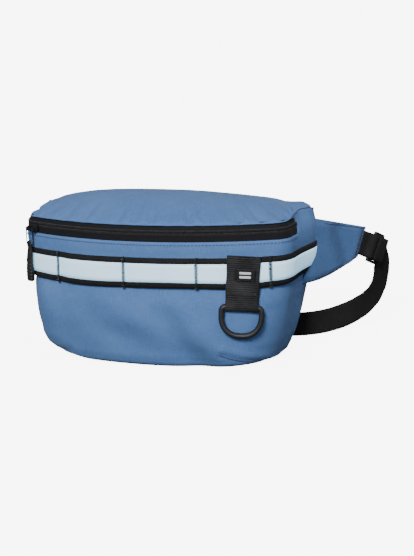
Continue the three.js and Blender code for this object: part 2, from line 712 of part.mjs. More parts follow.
/** Socket half: housing open at its mouth, with a window for each barb. */
function socket() {
  const housing = plate(roundedRect(8, 36, -BUCKLE_HALF, BUCKLE_HALF, 3), -5.6, 5.6);
  const cavity = box(7, 33, -3.4, 3.4, -13.4, 13.4);
  const windows = [1, -1].map((side) => {
    const inner = side * 12;
    const outer = side * 18;
    return box(12, 21, -3.4, 3.4, Math.min(inner, outer), Math.max(inner, outer));
  });
  return shaped([housing, barPlate(33.5)], [cavity, ...windows]);
}
add('buckle_socket', socket(), 0x151517, 0.45, onBuckle(-1));

export default group;
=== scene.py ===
"""Waist pack: cloth, webbing, zip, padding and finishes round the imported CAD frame. Sizes are in millimetres
and become metres in build()."""
import math
import random

import bpy
import numpy as np
from mathutils import Matrix, Vector, noise


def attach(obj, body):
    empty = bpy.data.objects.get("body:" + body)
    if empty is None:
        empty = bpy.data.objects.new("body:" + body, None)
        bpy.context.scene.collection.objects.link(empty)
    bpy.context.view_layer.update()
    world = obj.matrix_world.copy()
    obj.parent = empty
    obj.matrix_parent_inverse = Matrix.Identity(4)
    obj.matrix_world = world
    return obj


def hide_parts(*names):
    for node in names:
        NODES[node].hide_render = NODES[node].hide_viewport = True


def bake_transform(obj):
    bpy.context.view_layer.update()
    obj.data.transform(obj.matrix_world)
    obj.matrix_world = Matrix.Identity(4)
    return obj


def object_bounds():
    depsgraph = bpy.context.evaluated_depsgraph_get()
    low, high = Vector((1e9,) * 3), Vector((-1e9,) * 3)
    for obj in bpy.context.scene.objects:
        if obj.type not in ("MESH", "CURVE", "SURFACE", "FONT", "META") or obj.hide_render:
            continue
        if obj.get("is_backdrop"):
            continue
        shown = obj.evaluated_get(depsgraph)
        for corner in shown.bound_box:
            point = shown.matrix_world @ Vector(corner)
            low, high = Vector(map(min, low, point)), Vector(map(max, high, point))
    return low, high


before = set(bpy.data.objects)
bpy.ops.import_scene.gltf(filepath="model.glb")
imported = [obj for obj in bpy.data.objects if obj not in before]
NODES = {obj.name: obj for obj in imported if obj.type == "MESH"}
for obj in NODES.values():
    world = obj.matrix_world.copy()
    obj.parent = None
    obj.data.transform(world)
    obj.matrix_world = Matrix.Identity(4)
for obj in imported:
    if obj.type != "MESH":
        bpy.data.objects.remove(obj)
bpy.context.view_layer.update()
MM = 0.001
Z = Vector((0, 0, 1))
MIRROR = Vector((-1, 1, 1))

# ---- camera
PIVOT = Vector((0, 0, 84))
DISTANCE = 1735.0
TURN, TILT, LEAN = math.radians(23.9), math.radians(14.0), math.radians(-3.5)
OFF_CENTRE = (-44.6, 3.8)
LENS = 112.338


def leaned(x, y, z):
    """A direction in the camera's upright frame, in the pack's own axes."""
    return Vector((x * math.cos(LEAN) - z * math.sin(LEAN), y, x * math.sin(LEAN) + z * math.cos(LEAN)))


def make_camera():
    right = leaned(math.cos(TURN), math.sin(TURN), 0)
    ahead = leaned(-math.sin(TURN) * math.cos(TILT), math.cos(TURN) * math.cos(TILT), -math.sin(TILT))
    up = right.cross(ahead)
    place = PIVOT - ahead * DISTANCE
    ahead = (ahead * DISTANCE - right * OFF_CENTRE[0] - up * OFF_CENTRE[1]).normalized()
    right = (right - ahead * right.dot(ahead)).normalized()
    up = right.cross(ahead)
    data = bpy.data.cameras.new("camera")
    data.lens = LENS
    data.clip_start, data.clip_end = 0.05, 60
    cam = bpy.data.objects.new("camera", data)
    cam.matrix_world = Matrix((
        (right.x, up.x, -ahead.x, place.x * MM),
        (right.y, up.y, -ahead.y, place.y * MM),
        (right.z, up.z, -ahead.z, place.z * MM),
        (0, 0, 0, 1),
    ))
    bpy.context.scene.collection.objects.link(cam)
    bpy.context.scene.camera = cam


make_camera()

# ---- sizes of the frame
FRONT_RADIUS = 310.0
BACK_Y = 51.0
RIM_Z, RIM_HALF = 128.2, 142.6
LID_EDGE_Z, LID_HALF = 145.3, 143.0
ZIP_END_Y, ZIP_Z = 8.0, 136
BAND_BOTTOM, BAND_TOP = 83.4, 113.0
BARTACK_ARCS = [-171, -94.5, -15.5, 59, 130]
SLIDER_ARC = -129.5
TAB_ARC, TAB_LEAN, TAB_LEAN_Z = 103.6, math.radians(5), 90.0
RING_BAR_Y, RING_BAR_Z = -6.2, 65.5
FRONT_SHARE, CORNER_SHARE = 0.56, 0.76  # |u| where the front ends, and where the corner ends
# height, half length, front, corner radius
LEVELS = np.array([
    (0, 98, -30, 45), (4, 107, -38, 45), (12, 114, -44, 44), (24, 121.5, -49, 43), (45, 128, -53.5, 42),
    (66, 133.5, -55.5, 38), (84, 138, -56, 34), (98, 140.3, -55, 30), (113, 142, -54, 24),
    (RIM_Z, RIM_HALF, -53, 18), (LID_EDGE_Z, 138.6, -50.9, 17), (155, 138.6, -50.9, 17),
])
WING_ROOT = Vector((146.3, BACK_Y, 0))
WING_ANGLE = math.radians(53.8)


def smooth(t):
    """0 below 0, 1 above 1 and an even rise between."""
    t = min(max(float(t), 0.0), 1.0)
    return t * t * (3 - 2 * t)


def bump(x, centre, width):
    """1 at the centre, falling to 0 on both sides like a bell."""
    return math.exp(-((x - centre) / width) ** 2)


def read(table, x, column=1):
    """Value of a table at x, on straight lines between its rows."""
    return float(np.interp(x, table[:, 0], table[:, column]))


def moved(x, y, z):
    """Matrix of a plain shift."""
    return Matrix.Translation(Vector((x, y, z)))


def level(z):
    """Half length, front and corner radius of the body at a height."""
    return tuple(read(LEVELS, z, column) for column in (1, 2, 3))


def flare(y, z):
    """How far the upper side stands out towards the back seam."""
    return 4.6 * smooth((z - 76) / 26) * smooth((y + 4) / 50)


def outline(u, z, out=0.0):
    """Point of the body's outline at a height and its outward direction. u runs from -1, left back, to 1."""
    half, front, corner = level(z)
    turn = math.asin((half - corner) / (FRONT_RADIUS - corner))
    centre_y = front + FRONT_RADIUS
    corner_x = half - corner
    corner_y = centre_y - (FRONT_RADIUS - corner) * math.cos(turn)
    side, k = (1 if u >= 0 else -1), abs(u)
    if k <= FRONT_SHARE:
        a = turn * k / FRONT_SHARE
        x, y = FRONT_RADIUS * math.sin(a), centre_y - FRONT_RADIUS * math.cos(a)
        nx, ny = math.sin(a), -math.cos(a)
    elif k <= CORNER_SHARE:
        a = turn + (math.pi / 2 - turn) * (k - FRONT_SHARE) / (CORNER_SHARE - FRONT_SHARE)
        x, y = corner_x + corner * math.sin(a), corner_y - corner * math.cos(a)
        nx, ny = math.sin(a), -math.cos(a)
    else:
        x, y = half, corner_y + (BACK_Y - corner_y) * (k - CORNER_SHARE) / (1 - CORNER_SHARE)
        x += flare(y, z)
        nx, ny = 1.0, 0.0
    return Vector((side * (x + nx * out), y + ny * out, z)), Vector((side * nx, ny, 0))


ARCS = {}


def arc_table(z):
    """Arc length from the front's middle at each of many u, for one height."""
    key = round(float(z), 1)
    if key not in ARCS:
        us = np.linspace(0, 1, 201)
        pts = np.array([outline(u, key)[0][:2] for u in us])
        steps = np.hypot(*np.diff(pts, axis=0).T)
        ARCS[key] = us, np.concatenate([[0], np.cumsum(steps)])
    return ARCS[key]


def u_at(arc, z):
    """u of the outline at an arc length from the front's middle."""
    us, arcs = arc_table(z)
    return math.copysign(float(np.interp(abs(arc), arcs, us)), arc)


def arc_at(u, z):
    us, arcs = arc_table(z)
    return math.copysign(float(np.interp(abs(u), us, arcs)), u)


def front_place(arc, z):
    """Matrix whose X runs along the front at an arc position and whose -Y faces outwards."""
    front = level(z)[1]
    a = arc / FRONT_RADIUS
    place_y = front + FRONT_RADIUS * (1 - math.cos(a))
    return moved(FRONT_RADIUS * math.sin(a), place_y, 0) @ Matrix.Rotation(a, 4, "Z")


def wing_place(side):
    turn = WING_ANGLE if side > 0 else math.pi - WING_ANGLE
    return moved(side * WING_ROOT.x, WING_ROOT.y, 0) @ Matrix.Rotation(turn, 4, "Z")


def soft_noise(x, y, size, seed=0.0):
    """Slow random field from about -1 to 1; size is its grain in millimetres."""
    return noise.noise(Vector((x / size, y / size, seed)))


def spaced(count, start=0.0, end=1.0):
    """Evenly spaced values from start to end, with count steps between them."""
    return np.linspace(start, end, count + 1)

# ---- meshes


def build(name, verts, faces, material, uvs=None, shade=True):
    """Mesh object from points in millimetres. uvs are per point, in millimetres on the cloth."""
    mesh = bpy.data.meshes.new(name)
    mesh.from_pydata([tuple(c * MM for c in v) for v in verts], [], faces)
    if uvs is not None:
        layer = mesh.uv_layers.new(name="cloth")
        for loop in mesh.loops:
            layer.data[loop.index].uv = uvs[loop.vertex_index]
    mesh.materials.append(material)
    if shade:
        mesh.polygons.foreach_set("use_smooth", [True] * len(mesh.polygons))
    mesh.update()
    obj = bpy.data.objects.new(name, mesh)
    bpy.context.scene.collection.objects.link(obj)
    return obj


def grid_faces(rows, columns, base=0, flip=False):
    corners = [base + r * columns + c for r in range(rows - 1) for c in range(columns - 1)]
    faces = [(k, k + 1, k + 1 + columns, k + columns) for k in corners]
    return [face[::-1] for face in faces] if flip else faces


def slab_faces(rows, columns, flip=False, ends=(True, True)):
    """Faces of two grids of points, one behind the other, joined round their rim.
    ends says whether the first and last column are closed with an edge."""
    total = rows * columns
    low, high = range(columns), range(total - columns, total)
    left, right = range(0, total, columns), range(columns - 1, total, columns)
    rim = [*zip(low, low[1:]), *zip(high[1:], high)]
    if ends[0]:
        rim += zip(left[1:], left)
    if ends[1]:
        rim += zip(right, right[1:])
    faces = grid_faces(rows, columns) + grid_faces(rows, columns, total, flip=True)
    faces += [(a, total + a, total + b, b) for a, b in rim]
    return [face[::-1] for face in faces] if flip else faces


def sheet(spot, across, up):
    """Rows of points and of their places on the flat cloth; spot(a, b) gives both."""
    both = [[spot(a, b) for a in across] for b in up]
    return [[p for p, _ in row] for row in both], [[flat for _, flat in row] for row in both]


def turned(rows):
    """The same rows from right to left, so that the cloth's face is at the back."""
    return [row[::-1] for row in rows]


def cloth(name, rows, thick, material, flats, ends=(True, True)):
    """Sheet with thickness from a grid of points; rows run left to right, the lowest first, outside out."""
    pts = np.array(rows, float)
    normal = np.cross(np.gradient(pts, axis=1), np.gradient(pts, axis=0))
    normal /= np.maximum(np.linalg.norm(normal, axis=2, keepdims=True), 1e-9)
    verts = [*pts.reshape(-1, 3), *(pts - normal * thick).reshape(-1, 3)]
    flat = [tuple(uv) for row in flats for uv in row] * 2
    return build(name, verts, slab_faces(*pts.shape[:2], ends=ends), material, flat)


def tube(name, points, radius, material, sides=8, closed=False, squash=1.0, up=None):
    """Round or oval rod along points; radius may be a list. squash flattens it along the second direction."""
    verts, uvs = tube_points(points, radius, sides, closed, squash, up)
    return build(name, verts, rod_faces(len(points), sides, closed=closed), material, uvs)


def tube_points(points, radius, sides, closed=False, squash=1.0, up=None):
    points = [Vector(p) for p in points]
    count = len(points)
    radii = radius if hasattr(radius, "__len__") else [radius] * count
    verts, uvs, length = [], [], 0.0
    side = None
    for i, p in enumerate(points):
        before = points[i - 1] if i or closed else p
        after = points[(i + 1) % count] if i + 1 < count or closed else p
        along = (after - before).normalized()
        guess = up or side or Vector((0, 0, 1) if abs(along.z) < 0.8 else (1, 0, 0))
        side = (guess - along * along.dot(guess)).normalized()
        other = along.cross(side)
        for k in range(sides):
            a = 2 * math.pi * k / sides
            verts.append(p + side * (radii[i] * math.cos(a)) + other * (radii[i] * squash * math.sin(a)))
            uvs.append((length, radii[i] * a))
        if i + 1 < count:
            length += (points[i + 1] - p).length
    return verts, uvs


def rod_faces(count, sides, base=0, closed=False, flip=False):
    """Faces of rings of points joined along a rod. Its ends are capped, unless closed joins them."""
    faces = []
    for i in range(count if closed else count - 1):
        a, b = base + i * sides, base + (i + 1) % count * sides
        faces += [(a + k, b + k, b + (k + 1) % sides, a + (k + 1) % sides) for k in range(sides)]
    if not closed:
        last = base + (count - 1) * sides
        faces += [tuple(range(base, base + sides)), tuple(range(last, last + sides))[::-1]]
    return [face[::-1] for face in faces] if flip else faces


def many_tubes(name, paths, radius, material, sides=5):
    """One mesh of many short threads."""
    verts, faces, uvs = [], [], []
    for path in paths:
        faces += rod_faces(len(path), sides, len(verts))
        more, flat = tube_points(path, radius, sides)
        verts += more
        uvs += flat
    return build(name, verts, faces, material, uvs)


def running_length(points):
    """Length along the points up to each of them."""
    return np.concatenate([[0], np.cumsum([math.dist(a, b) for a, b in zip(points, points[1:])])])


def stitches(name, path, material, dash=2.6, gap=1.1, radius=0.22, lift=0.12):
    """Row of thread dashes along points that lie on cloth; each entry is (point, outward direction)."""
    pts, outs = zip(*path)
    lengths = running_length(pts)

    def at(s, height):
        k = max(min(int(np.searchsorted(lengths, s)), len(pts) - 1), 1)
        t = (s - lengths[k - 1]) / max(lengths[k] - lengths[k - 1], 1e-9)
        return pts[k - 1].lerp(pts[k], t) + outs[k - 1].lerp(outs[k], t) * height

    paths = []
    s = 0.3
    while s + dash < lengths[-1]:
        paths.append([at(s, -0.15), at(s + dash * 0.2, lift), at(s + dash * 0.8, lift), at(s + dash, -0.15)])
        s += dash + gap
    return many_tubes(name, paths, radius, material)


def place(obj, body, *nodes, slot=None):
    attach(obj, body)
    if nodes:
        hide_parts(*nodes)

# ---- materials


class Paint:
    """A material and short ways to wire its nodes."""

    def __init__(self, name, colour, roughness, metallic=0.0, sheen=0.0, specular=0.5):
        self.material = bpy.data.materials.new(name)
        self.material.use_nodes = True
        self.tree = self.material.node_tree
        self.shader = self.tree.nodes["Principled BSDF"]
        self.height = None
        finish = {"Base Color": colour, "Roughness": roughness, "Metallic": metallic,
                  "Specular IOR Level": specular, "Sheen Weight": sheen, "Sheen Roughness": 0.45}
        for socket, value in finish.items():
            self.feed(self.shader, socket, value)

    def feed(self, node, socket, value):
        """Give a socket a number, a colour or another node's output."""
        if isinstance(value, bpy.types.NodeSocket):
            self.tree.links.new(value, node.inputs[socket])
        else:
            node.inputs[socket].default_value = (*value, 1) if hasattr(value, "__len__") else value

    def node(self, kind, inputs, **settings):
        made = self.tree.nodes.new(kind)
        for key, value in settings.items():
            setattr(made, key, value)
        for socket, value in inputs.items():
            self.feed(made, socket, value)
        return made

    def maths(self, operation, a, b=0.0):
        return self.node("ShaderNodeMath", {0: a, 1: b}, operation=operation).outputs[0]

    def times(self, a, b):
        return self.maths("MULTIPLY", a, b)

    def uv(self):
        """Along and across the cloth, in millimetres."""
        source = self.node("ShaderNodeUVMap", {}, uv_map="cloth")
        return self.node("ShaderNodeSeparateXYZ", {0: source.outputs[0]}).outputs[:2]

    def wave(self, along, pitch):
        """Sine along one direction, from 0 to 1."""
        sine = self.maths("SINE", self.times(along, 2 * math.pi / pitch))
        return self.maths("ADD", self.times(sine, 0.5), 0.5)

    def noise(self, vector, scale, detail=3.0, roughness=0.55, distortion=0.0):
        inputs = {"Vector": vector, "Scale": scale, "Detail": detail, "Roughness": roughness,
                  "Distortion": distortion}
        return self.node("ShaderNodeTexNoise", inputs).outputs["Fac"]

    def cells(self, x, y, scale, **settings):
        made = self.node("ShaderNodeTexVoronoi", {"Vector": self.vector(x, y), "Scale": scale}, **settings)
        return made, made.outputs["Distance"]

    def vector(self, x, y, z=0.0):
        return self.node("ShaderNodeCombineXYZ", {0: x, 1: y, 2: z}).outputs[0]

    def ramp(self, value, stops):
        made = self.node("ShaderNodeValToRGB", {0: value})
        elements = made.color_ramp.elements
        while len(elements) < len(stops):
            elements.new(0.5)
        for element, (spot, colour) in zip(elements, stops):
            element.position = spot
            element.color = (*colour, 1) if hasattr(colour, "__len__") else (colour, colour, colour, 1)
        return made.outputs[0]

    def mix(self, share, a, b):
        return self.node("ShaderNodeMix", {0: share, 6: a, 7: b}, data_type="RGBA").outputs[2]

    def colour(self, socket):
        self.feed(self.shader, "Base Color", socket)

    def rough(self, value, low, high):
        made = self.node("ShaderNodeMapRange", {"Value": value, "To Min": low, "To Max": high})
        self.feed(self.shader, "Roughness", made.outputs[0])

    def bumps(self, height, distance, strength=1.0):
        inputs = {"Strength": strength, "Distance": distance * MM, "Height": height}
        made = self.node("ShaderNodeBump", inputs)
        if self.height is not None:
            self.feed(made, "Normal", self.height)
        self.height = made.outputs[0]
        self.feed(self.shader, "Normal", self.height)


BLUE, BLUE_DARK, BLUE_LIGHT = (0.080, 0.172, 0.395), (0.055, 0.132, 0.330), (0.115, 0.224, 0.465)
SILVER, SILVER_DARK, SILVER_LIGHT = (0.62, 0.84, 1.0), (0.52, 0.68, 0.84), (0.74, 0.92, 1.0)
THREAD_PITCH = 0.62


def blue_cloth(name, painted_shade_scale):
    """Coated polyester weave: fine crossing threads, slub streaks both ways and slow fading.
    A scale below 1 darkens all its colours: painted shade, for a part that the light reaches less."""
    middle, dark, light = (tuple(painted_shade_scale * c for c in shade) for shade in (BLUE, BLUE_DARK, BLUE_LIGHT))
    p = Paint(name, middle, 0.80, sheen=0.06, specular=0.2)
    u, v = p.uv()
    over = p.times(p.wave(u, THREAD_PITCH), p.wave(v, THREAD_PITCH))
    streak_u = p.noise(p.vector(p.times(u, 2.2), p.times(v, 0.12)), 1.0, 2.0)
    streak_v = p.noise(p.vector(p.times(u, 0.12), p.times(v, 2.2), 7.0), 1.0, 2.0)
    slub = p.times(p.maths("ADD", streak_u, streak_v), 0.5)
    slow = p.noise(p.vector(u, v, 3.0), 0.022)
    tone = p.ramp(slub, [(0.30, dark), (0.5, middle), (0.70, light)])
    faded = p.mix(p.ramp(slow, [(0.35, 0.0), (0.75, 0.5)]), tone, light)
    p.colour(p.mix(p.times(over, 0.10), faded, light))
    p.rough(slub, 0.70, 0.86)
    p.bumps(over, 0.10, 0.5)
    p.bumps(slub, 0.25, 0.35)
    return p.material


def webbing_cloth(name, colour, light, pitch, roughness=0.72):
    """Woven belt webbing: ribs across it, with threads that lean one way across it."""
    p = Paint(name, colour, roughness, sheen=0.03, specular=0.2)
    u, v = p.uv()
    lean = p.wave(p.maths("ADD", u, p.times(v, 0.9)), 0.85)
    fibre = p.noise(p.vector(p.times(u, 0.3), p.times(v, 3.0)), 1.0, 2.0)
    slow = p.noise(p.vector(u, v, 5.0), 0.05, 2.0)
    weave = p.times(p.wave(u, pitch), lean)
    tone = p.mix(p.times(weave, 0.55), colour, light)
    p.colour(p.mix(p.ramp(slow, [(0.45, 0.0), (0.8, 0.35)]), tone, light))
    p.rough(fibre, roughness - 0.08, roughness + 0.12)
    p.bumps(weave, 0.16, 0.7)
    p.bumps(fibre, 0.12, 0.4)
    return p.material


def plain_weave(name, colour, light, pitch, roughness=0.8):
    """Tight plain weave for zip tape, lining and label."""
    p = Paint(name, colour, roughness, sheen=0.03, specular=0.2)
    u, v = p.uv()
    over = p.times(p.wave(u, pitch), p.wave(v, pitch))
    slow = p.noise(p.vector(u, v, 1.0), 0.06)
    p.colour(p.mix(p.maths("ADD", p.times(over, 0.4), p.times(slow, 0.25)), colour, light))
    p.rough(slow, roughness - 0.08, roughness + 0.1)
    p.bumps(over, 0.12, 0.6)
    return p.material


def moulded(name, colour, light, roughness, grain=0.03, metallic=0.0):
    """Moulded plastic or painted metal: fine grain, faint flow marks and handling marks."""
    p = Paint(name, colour, roughness, metallic=metallic)
    spot = p.node("ShaderNodeTexCoord", {}).outputs["Object"]
    fine = p.noise(spot, 2600, 2.0)
    flow = p.noise(spot, 70, 4.0, distortion=0.8)
    marks = p.noise(spot, 380, 5.0, roughness=0.7)
    p.colour(p.mix(p.ramp(marks, [(0.42, 0.0), (0.78, 0.6)]), colour, light))
    p.rough(flow, roughness - 0.1, roughness + 0.14)
    p.bumps(fine, grain, 0.5)
    return p.material


def reflective_cloth():
    """Retroreflective tape: pale film with minute beads and a faint weave below. Its weak glow stands for the
    light that such film sends back."""
    p = Paint("reflective_film", SILVER, 0.45)
    u, v = p.uv()
    p.feed(p.shader, "Emission Color", (0.34, 0.70, 1.0))
    p.feed(p.shader, "Emission Strength", 0.70)
    _, beads = p.cells(u, v, 2.4)
    slow = p.noise(p.vector(u, v, 2.0), 0.03)
    scuff = p.noise(p.vector(p.times(u, 0.2), v), 0.9, 4.0, roughness=0.7)
    tone = p.mix(p.ramp(slow, [(0.3, 0.0), (0.7, 1.0)]), SILVER, SILVER_LIGHT)
    p.colour(p.mix(p.ramp(scuff, [(0.55, 0.0), (0.85, 0.35)]), tone, SILVER_DARK))
    p.rough(scuff, 0.36, 0.52)
    p.bumps(beads, 0.05, 0.35)
    p.bumps(p.times(p.wave(u, 0.8), p.wave(v, 0.8)), 0.05, 0.3)
    return p.material


def thread_cloth(name, colour, light):
    """Twisted sewing thread."""
    p = Paint(name, colour, 0.6, sheen=0.3)
    u, v = p.uv()
    twist = p.wave(p.maths("ADD", u, p.times(v, 1.5)), 0.5)
    p.colour(p.mix(p.times(twist, 0.6), colour, light))
    p.bumps(twist, 0.08, 0.6)
    return p.material


def mesh_cloth():
    """Spacer mesh on the back: rows of small open cells."""
    p = Paint("spacer_mesh", (0.014, 0.014, 0.016), 0.85, sheen=0.2, specular=0.25)
    u, v = p.uv()
    made, distance = p.cells(u, v, 0.42, feature="DISTANCE_TO_EDGE")
    p.feed(made, "Randomness", 0.15)
    threads = p.ramp(distance, [(0.08, 1.0), (0.22, 0.0)])
    p.colour(p.mix(threads, (0.012, 0.012, 0.014), (0.060, 0.062, 0.068)))
    p.rough(p.noise(p.vector(u, v), 0.04), 0.78, 0.92)
    p.bumps(threads, 0.6, 0.8)
    return p.material


blue = blue_cloth("blue_weave", 1.0)
# darker copy of the blue cloth for the wings: painted shade, as the wings turn away from the key light
wing_blue_painted_shade = blue_cloth("blue_weave_painted_shade", 0.62)
web = webbing_cloth("black_webbing", (0.007, 0.007, 0.0075), (0.022, 0.022, 0.024), 1.7)
tab_web = webbing_cloth("tab_webbing_weave", (0.004, 0.004, 0.0045), (0.075, 0.075, 0.083), 2.1)
tape = plain_weave("zip_tape_weave", (0.007, 0.007, 0.009), (0.018, 0.018, 0.022), 0.9)
coil = moulded("coil_nylon", (0.008, 0.008, 0.0095), (0.022, 0.022, 0.026), 0.48)
film = reflective_cloth()
black_thread = thread_cloth("black_thread", (0.008, 0.008, 0.009), (0.03, 0.03, 0.033))
indigo_thread = thread_cloth("indigo_thread", (0.012, 0.022, 0.095), (0.035, 0.06, 0.19))
plastic = moulded("black_acetal", (0.008, 0.008, 0.0085), (0.018, 0.018, 0.019), 0.46)
ring_plastic = moulded("matte_nylon", (0.011, 0.012, 0.014), (0.022, 0.023, 0.027), 0.50, grain=0.05)
grip_rubber = moulded("soft_grip", (0.006, 0.006, 0.0065), (0.015, 0.015, 0.0165), 0.6, grain=0.06)
slider_metal = moulded("black_plated", (0.030, 0.030, 0.033), (0.10, 0.10, 0.105), 0.34, metallic=0.7)
wire_metal = moulded("dark_wire", (0.020, 0.020, 0.022), (0.07, 0.07, 0.075), 0.34, metallic=0.5)
lining = plain_weave("lining_weave", (0.030, 0.033, 0.038), (0.060, 0.064, 0.072), 0.5)
spacer = mesh_cloth()
label_cloth = plain_weave("label_weave", (0.007, 0.007, 0.008), (0.018, 0.018, 0.020), 0.45, roughness=0.6)
mark_paint = moulded("label_mark", (0.62, 0.63, 0.64), (0.72, 0.73, 0.74), 0.55)

# ---- the bag's cloth
# how far back, and the height of the side's upper seam
SEAM_TOP = np.array([(0, LID_EDGE_Z), (8, LID_EDGE_Z + 0.5), (18, 147), (30, 148.3), (41, 147.9),
                     (BACK_Y, 145.6)])


def seam_top(side, y):
    """Where a side meets the top panel behind the zip's end: distance from the middle, and height.
    The left side's edge stands fuller than the right's."""
    x = 138.0 - 1.2 * bump(y, 25, 12) + 6.5 * smooth((y - 24) / 25)
    return x, read(SEAM_TOP, y) + (2.2 * bump(y, 20, 24) if side < 0 else 0.0)


def segment_gap(x, y, ax, ay, bx, by):
    """Signed distance from a line between two points, and how far along it, from 0 to 1."""
    dx, dy = bx - ax, by - ay
    length = math.hypot(dx, dy)
    along = ((x - ax) * dx + (y - ay) * dy) / length ** 2
    return ((x - ax) * dy - (y - ay) * dx) / length, along


# height, and how far the filled left end sags outwards (SAG) and the whole foot of the bag bulges (FILL)
SAG = np.array([(0, 11), (5, 14), (15, 13), (30, 8.5), (55, 4.8), (80, 1.4), (84, 0), (160, 0)])
FILL = np.array([(0, 9), (4, 8), (12, 5.5), (24, 2.5), (45, 0.5), (60, 0), (160, 0)])


# folds of the filled cloth, each along a line: 1, or -1 for a mirrored fold; the line's start and end as
# (arc, height); where along it, from 0 to 1, the fold begins and how long it takes to rise, then the same
# for its end; and its waves as (height, distance from the line, width)
FOLDS = (
    # wide ridge that runs down to the dart at the lower right, with a hollow on its lower left
    (1, (26, 84), (76, 12), (0, 0.4), (1.12, 0.25), ((3.6, -2, 14), (-3.8, 22, 14))),
    # broad fold from the left of the middle down to the same dart
    (1, (-74, 66), (72, 12), (0, 0.35), (1.1, 0.3), ((2.0, -10, 15), (-2.3, 15, 14))),
    # dart's own sewn crease, towards the corner of the base
    (1, (74, 17), (108, 4), (-0.05, 0.12), (99, 1), ((-1.5, 0, 2.4), (1.4, -6, 5))),
    # the same dart mirrored at the lower left, softer
    (-1, (86, 13), (126, -2), (-0.05, 0.12), (99, 1), ((-1.5, 0, 2.4),)),
)


def belly(arc, z):
    """How far the filled cloth stands off the plain profile."""
    below = smooth((BAND_BOTTOM - 1.5 - z) / 14)
    out = 2.6 * below * bump(z, 48, 26)
    out -= 1.1 * bump(z, BAND_BOTTOM - 1.5, 3.2)
    out += 0.7 * bump(z, 121, 5)
    out += read(SAG, z) * smooth((-arc - 88) / 50)
    out += read(FILL, z)
    out += below * 1.1 * soft_noise(arc, z * 1.3, 42, 3.1)
    out += below * 0.3 * soft_noise(arc, z * 0.7, 15, 8.4)
    for side, start, end, (first, rise), (last, fall), waves in FOLDS:
        gap, along = segment_gap(side * arc, z, *start, *end)
        held = smooth((along - first) / rise) * smooth((last - along) / fall)
        for height, middle, width in waves:
            out += height * held * bump(gap, middle, width)
    return out


BODY_US = [round(float(u), 5) for u in spaced(220, -1)]
BODY_HEIGHTS = [0.9, 1.5, 2.6, 4.4, 6.6, 9.2, 12, *np.arange(15, 82, 2.6), 82.2, 83.4, 85,
                *np.arange(88, 126, 3.0), 126.4, RIM_Z]
BASE_SHARES = (1.0, 0.86, 0.7, 0.54, 0.38, 0.24, 0.12, 0.05)
BASE_Z = 0.2
HEM_ROWS = 6


def body_rows(inset=0.0):
    """Front, sides and base as one cloth: from the back of the base to the front, up, and over the rim."""
    first = [outline(u, BODY_HEIGHTS[0], -inset)[0] for u in BODY_US]

    def held(u):
        return smooth((1 - abs(u)) / 0.08)

    def base(k, t):
        u, p = BODY_US[k], first[k]
        across = first[0].x + (first[-1].x - first[0].x) * (u + 1) / 2
        q = p.lerp(Vector((across, BACK_Y, p.z)), t)
        if u < -0.45:
            q += outline(u, BASE_Z)[1] * (belly(arc_at(u, BASE_Z), BASE_Z) * (1 - t) * held(u))
        q.z = BODY_HEIGHTS[0] + inset + (0 if inset else 0.35 * abs(soft_noise(q.x, q.y, 30, 5.0)))
        return q, (q.x, -q.y)

    def wall(k, z):
        u = BODY_US[k]
        arc = arc_at(u, z)
        p, n = outline(u, max(z, inset), -inset)
        return p + n * (belly(arc, z) * held(u)), (arc, z)

    index = range(len(BODY_US))
    rows, flats = sheet(base, index, BASE_SHARES)
    more, flat = sheet(wall, index, BODY_HEIGHTS)
    rows += more
    flats += flat

    def hem(k, t):
        """Above the rim: up to the seam with the top panel at the sides, turned in under the zip in front."""
        u, y = BODY_US[k], rows[-1][k].y
        if y > ZIP_END_Y:
            side = 1 if u > 0 else -1
            x, top = seam_top(side, y)
            low_x = RIM_HALF + flare(y, RIM_Z)
            spot = Vector((side * (low_x + (x - low_x) * smooth(t)), y, RIM_Z + (top - 0.4 - RIM_Z) * t))
            return spot, (arc_at(u, RIM_Z), RIM_Z + (top - RIM_Z) * t)
        rim, n = outline(u, RIM_Z, -inset)
        a = t * math.pi / 2
        spot = rim - n * (2.4 * math.sin(a)) - Z * (2.2 * (1 - math.cos(a)))
        return spot, (arc_at(u, RIM_Z), RIM_Z + 2.5 * t)

    more, flat = sheet(hem, index, spaced(HEM_ROWS)[1:])
    return rows + more, flats + flat


rows, flats = body_rows()
place(cloth("bag_cloth", rows, 0.9, blue, flats), "shell", "front_panel", slot="shell_fabric")

# dart sewn into the lower right of the belly, and the seams behind the zip's ends
dart = []
for t in spaced(25):
    arc, z = 74 + 36 * t, 16.5 - 12 * math.sin(math.pi / 2 * t)
    p, n = outline(u_at(arc, z), z)
    dart.append(p + n * (belly(arc, z) + 0.35))
place(tube("dart_seam", dart, [0.1] + [0.5] * 24 + [0.1], indigo_thread, sides=6), "shell")
for name, side in (("seam_right", 1), ("seam_left", -1)):
    line = []
    for y in spaced(23, ZIP_END_Y + 2, 50):
        x, top = seam_top(side, y)
        line.append(Vector((side * (x + 0.1), y, top - 0.2)))
    place(tube(name, line, 0.42, indigo_thread, sides=6), "shell")

# ---- top panel
# distance from the middle, and height of the back's upper edge
BACK_TOP = np.array([
    (-143, 145.6), (-137, 149.6), (-129, 152.6), (-116, 155.4), (-94, 158.5), (-70, 160.2), (-46, 160.8),
    (-20, 161.0), (10, 160.8), (31, 160.0), (67, 157.6), (96, 155.2), (106, 153.9), (114, 151.7),
    (122, 151.3), (132, 151.8), (138, 149.6), (143, 145.6)])


